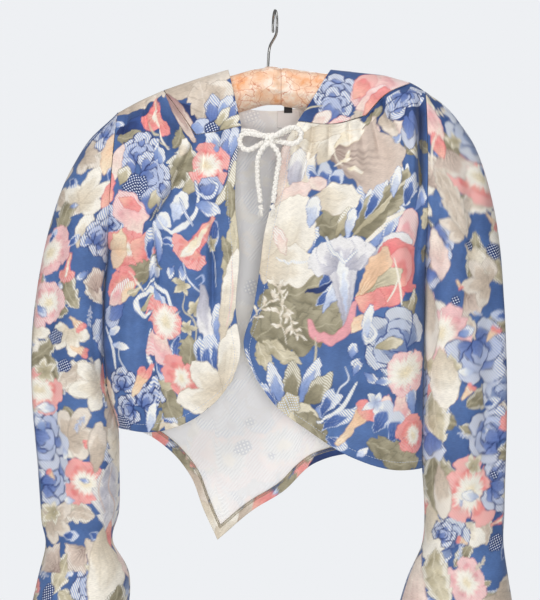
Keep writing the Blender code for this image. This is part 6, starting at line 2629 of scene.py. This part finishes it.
@dataclass
class NeckTape:
    """A bare label or tab sewn to the inside of the back neck."""

    node: str
    left: float
    right: float
    bottom: float
    top: float
    lift: float
    slot: str
    curl: float
    material: Material
    thickness: float = 0.0007
    count: int = 25

    def build(self) -> None:
        across = np.linspace(self.left, self.right, self.count)
        x, z = np.meshgrid(across, np.linspace(self.top, self.bottom, self.count))
        fall = (self.top - z) / (self.top - self.bottom)
        wave = self.curl * fall ** 2 * (1.0 + 0.4 * np.sin(140.0 * (x - self.left)))
        points = np.stack([x, FORM.depth(x, z, 2) - self.lift - wave, z], axis=-1)
        piece = Panel(self.node, points, -1.0, thickness=self.thickness).build({}, [self.material])
        tie_in(piece, self.slot, self.node)


# Studio

@dataclass
class Studio:
    """Camera, soft light, pale air and a pale floor."""

    eye: Point = (-0.006, -2.0, -0.3456)
    lens: float = 100.0
    sensor: float = 36.0
    far: float = 20.0
    floor_z: float = -1.15
    floor_radius: float = 1.2
    floor_sides: int = 64
    air: str = "#EEF0F3"
    soft: str = "#F4F4F6"
    soft_power: float = 0.26
    # (name, place, aim, width, power)
    lamps: tuple[tuple[str, Point, Point, float, float], ...] = (
        ("key", (-1.2, -1.7, 0.7), (0.0, 0.0, -0.32), 0.9, 12.6),
        ("front", (0.1, -2.4, -0.45), (0.0, 0.0, -0.40), 0.9, 28.4),
        ("top", (0.05, -0.35, 1.1), (0.0, 0.0, -0.25), 0.9, 6.6),
        ("rear", (0.4, 1.7, 0.2), (0.0, 0.0, -0.35), 1.2, 12.0),
    )

    def camera(self) -> None:
        """Place the camera at the photograph's viewpoint."""
        data = bpy.data.cameras.new("camera")
        data.lens = self.lens
        data.sensor_width = self.sensor
        data.clip_end = self.far
        item = bpy.data.objects.new("camera", data)
        item.location = self.eye
        item.rotation_euler = (math.pi / 2.0, 0.0, 0.0)
        bpy.context.scene.collection.objects.link(item)
        bpy.context.scene.camera = item

    def light(self) -> None:
        """Hang the lamps and set the pale air round the jacket."""
        for name, place, aim, width, power in self.lamps:
            data = bpy.data.lights.new(name, "AREA")
            data.shape = "DISK"
            data.size = width
            data.energy = power
            item = bpy.data.objects.new(name, data)
            item.location = place
            away = np.array(place) - np.array(aim)
            flat = math.hypot(away[0], away[1])
            item.rotation_euler = (math.atan2(flat, away[2]), 0.0, math.atan2(away[0], -away[1]))
            bpy.context.scene.collection.objects.link(item)
        world = bpy.data.worlds.new("studio")
        world.use_nodes = True
        tree = world.node_tree
        seen = tree.nodes["Background"]
        connect(tree, seen, {"Color": shade(self.air), "Strength": 1.0})
        dim = {"Color": shade(self.soft), "Strength": self.soft_power}
        soft = add_node(tree, "ShaderNodeBackground", dim)
        path = add_node(tree, "ShaderNodeLightPath").outputs["Is Camera Ray"]
        joined = add_node(tree, "ShaderNodeMixShader", {0: path, 1: soft, 2: seen})
        connect(tree, tree.nodes["World Output"], {"Surface": joined})
        bpy.context.scene.world = world
        bpy.context.scene.view_settings.view_transform = "Standard"

    def floor(self) -> None:
        """Lay a pale floor under the jacket."""
        turn = np.linspace(0.0, math.tau, self.floor_sides, endpoint=False)
        ring = [self.floor_radius * np.cos(turn), self.floor_radius * np.sin(turn)]
        points = np.stack([*ring, np.full(self.floor_sides, self.floor_z)], axis=1)
        mesh_object("floor", points, [np.arange(self.floor_sides)[None, :]], [FINISHES.floor])

    def build(self) -> None:
        """Set up the whole studio."""
        self.camera()
        self.light()
        self.floor()


def main() -> None:
    """Build the studio, the tie, the hanger and the jacket, in that order."""
    logging.basicConfig(level=logging.INFO, format="%(message)s")
    Studio().build()
    BowTie().build()
    PaddedHanger().build()
    sewing = Sewing()
    Back().build(sewing)
    Front(LEFT, LEFT_FOLDS, LEFT_FRONT_PRINT, 161, 341, 41).build(sewing)
    Front(RIGHT, RIGHT_FOLDS, RIGHT_FRONT_PRINT, 183, 365, 42).build(sewing)
    Yoke(LEFT, LEFT_YOKE_PRINT, 43).build()
    Yoke(RIGHT, RIGHT_YOKE_PRINT, 44).build()
    Sleeve(LEFT, LEFT_RINGS, LEFT_SLEEVE_PRINT, 45).build(sewing)
    Sleeve(RIGHT, RIGHT_RINGS, RIGHT_SLEEVE_PRINT, 46).build(sewing)
    label, tab = FINISHES.label, FINISHES.tab
    NeckTape("care_label", 0.0025, 0.0305, -0.1365, -0.1165, 0.0020, "label_white", 0.0012, label).build()
    NeckTape("size_tab", 0.0110, 0.0210, -0.1185, -0.1060, 0.0034, "tab_black", 0.0004, tab).build()


if __name__ == "__main__":
    main()
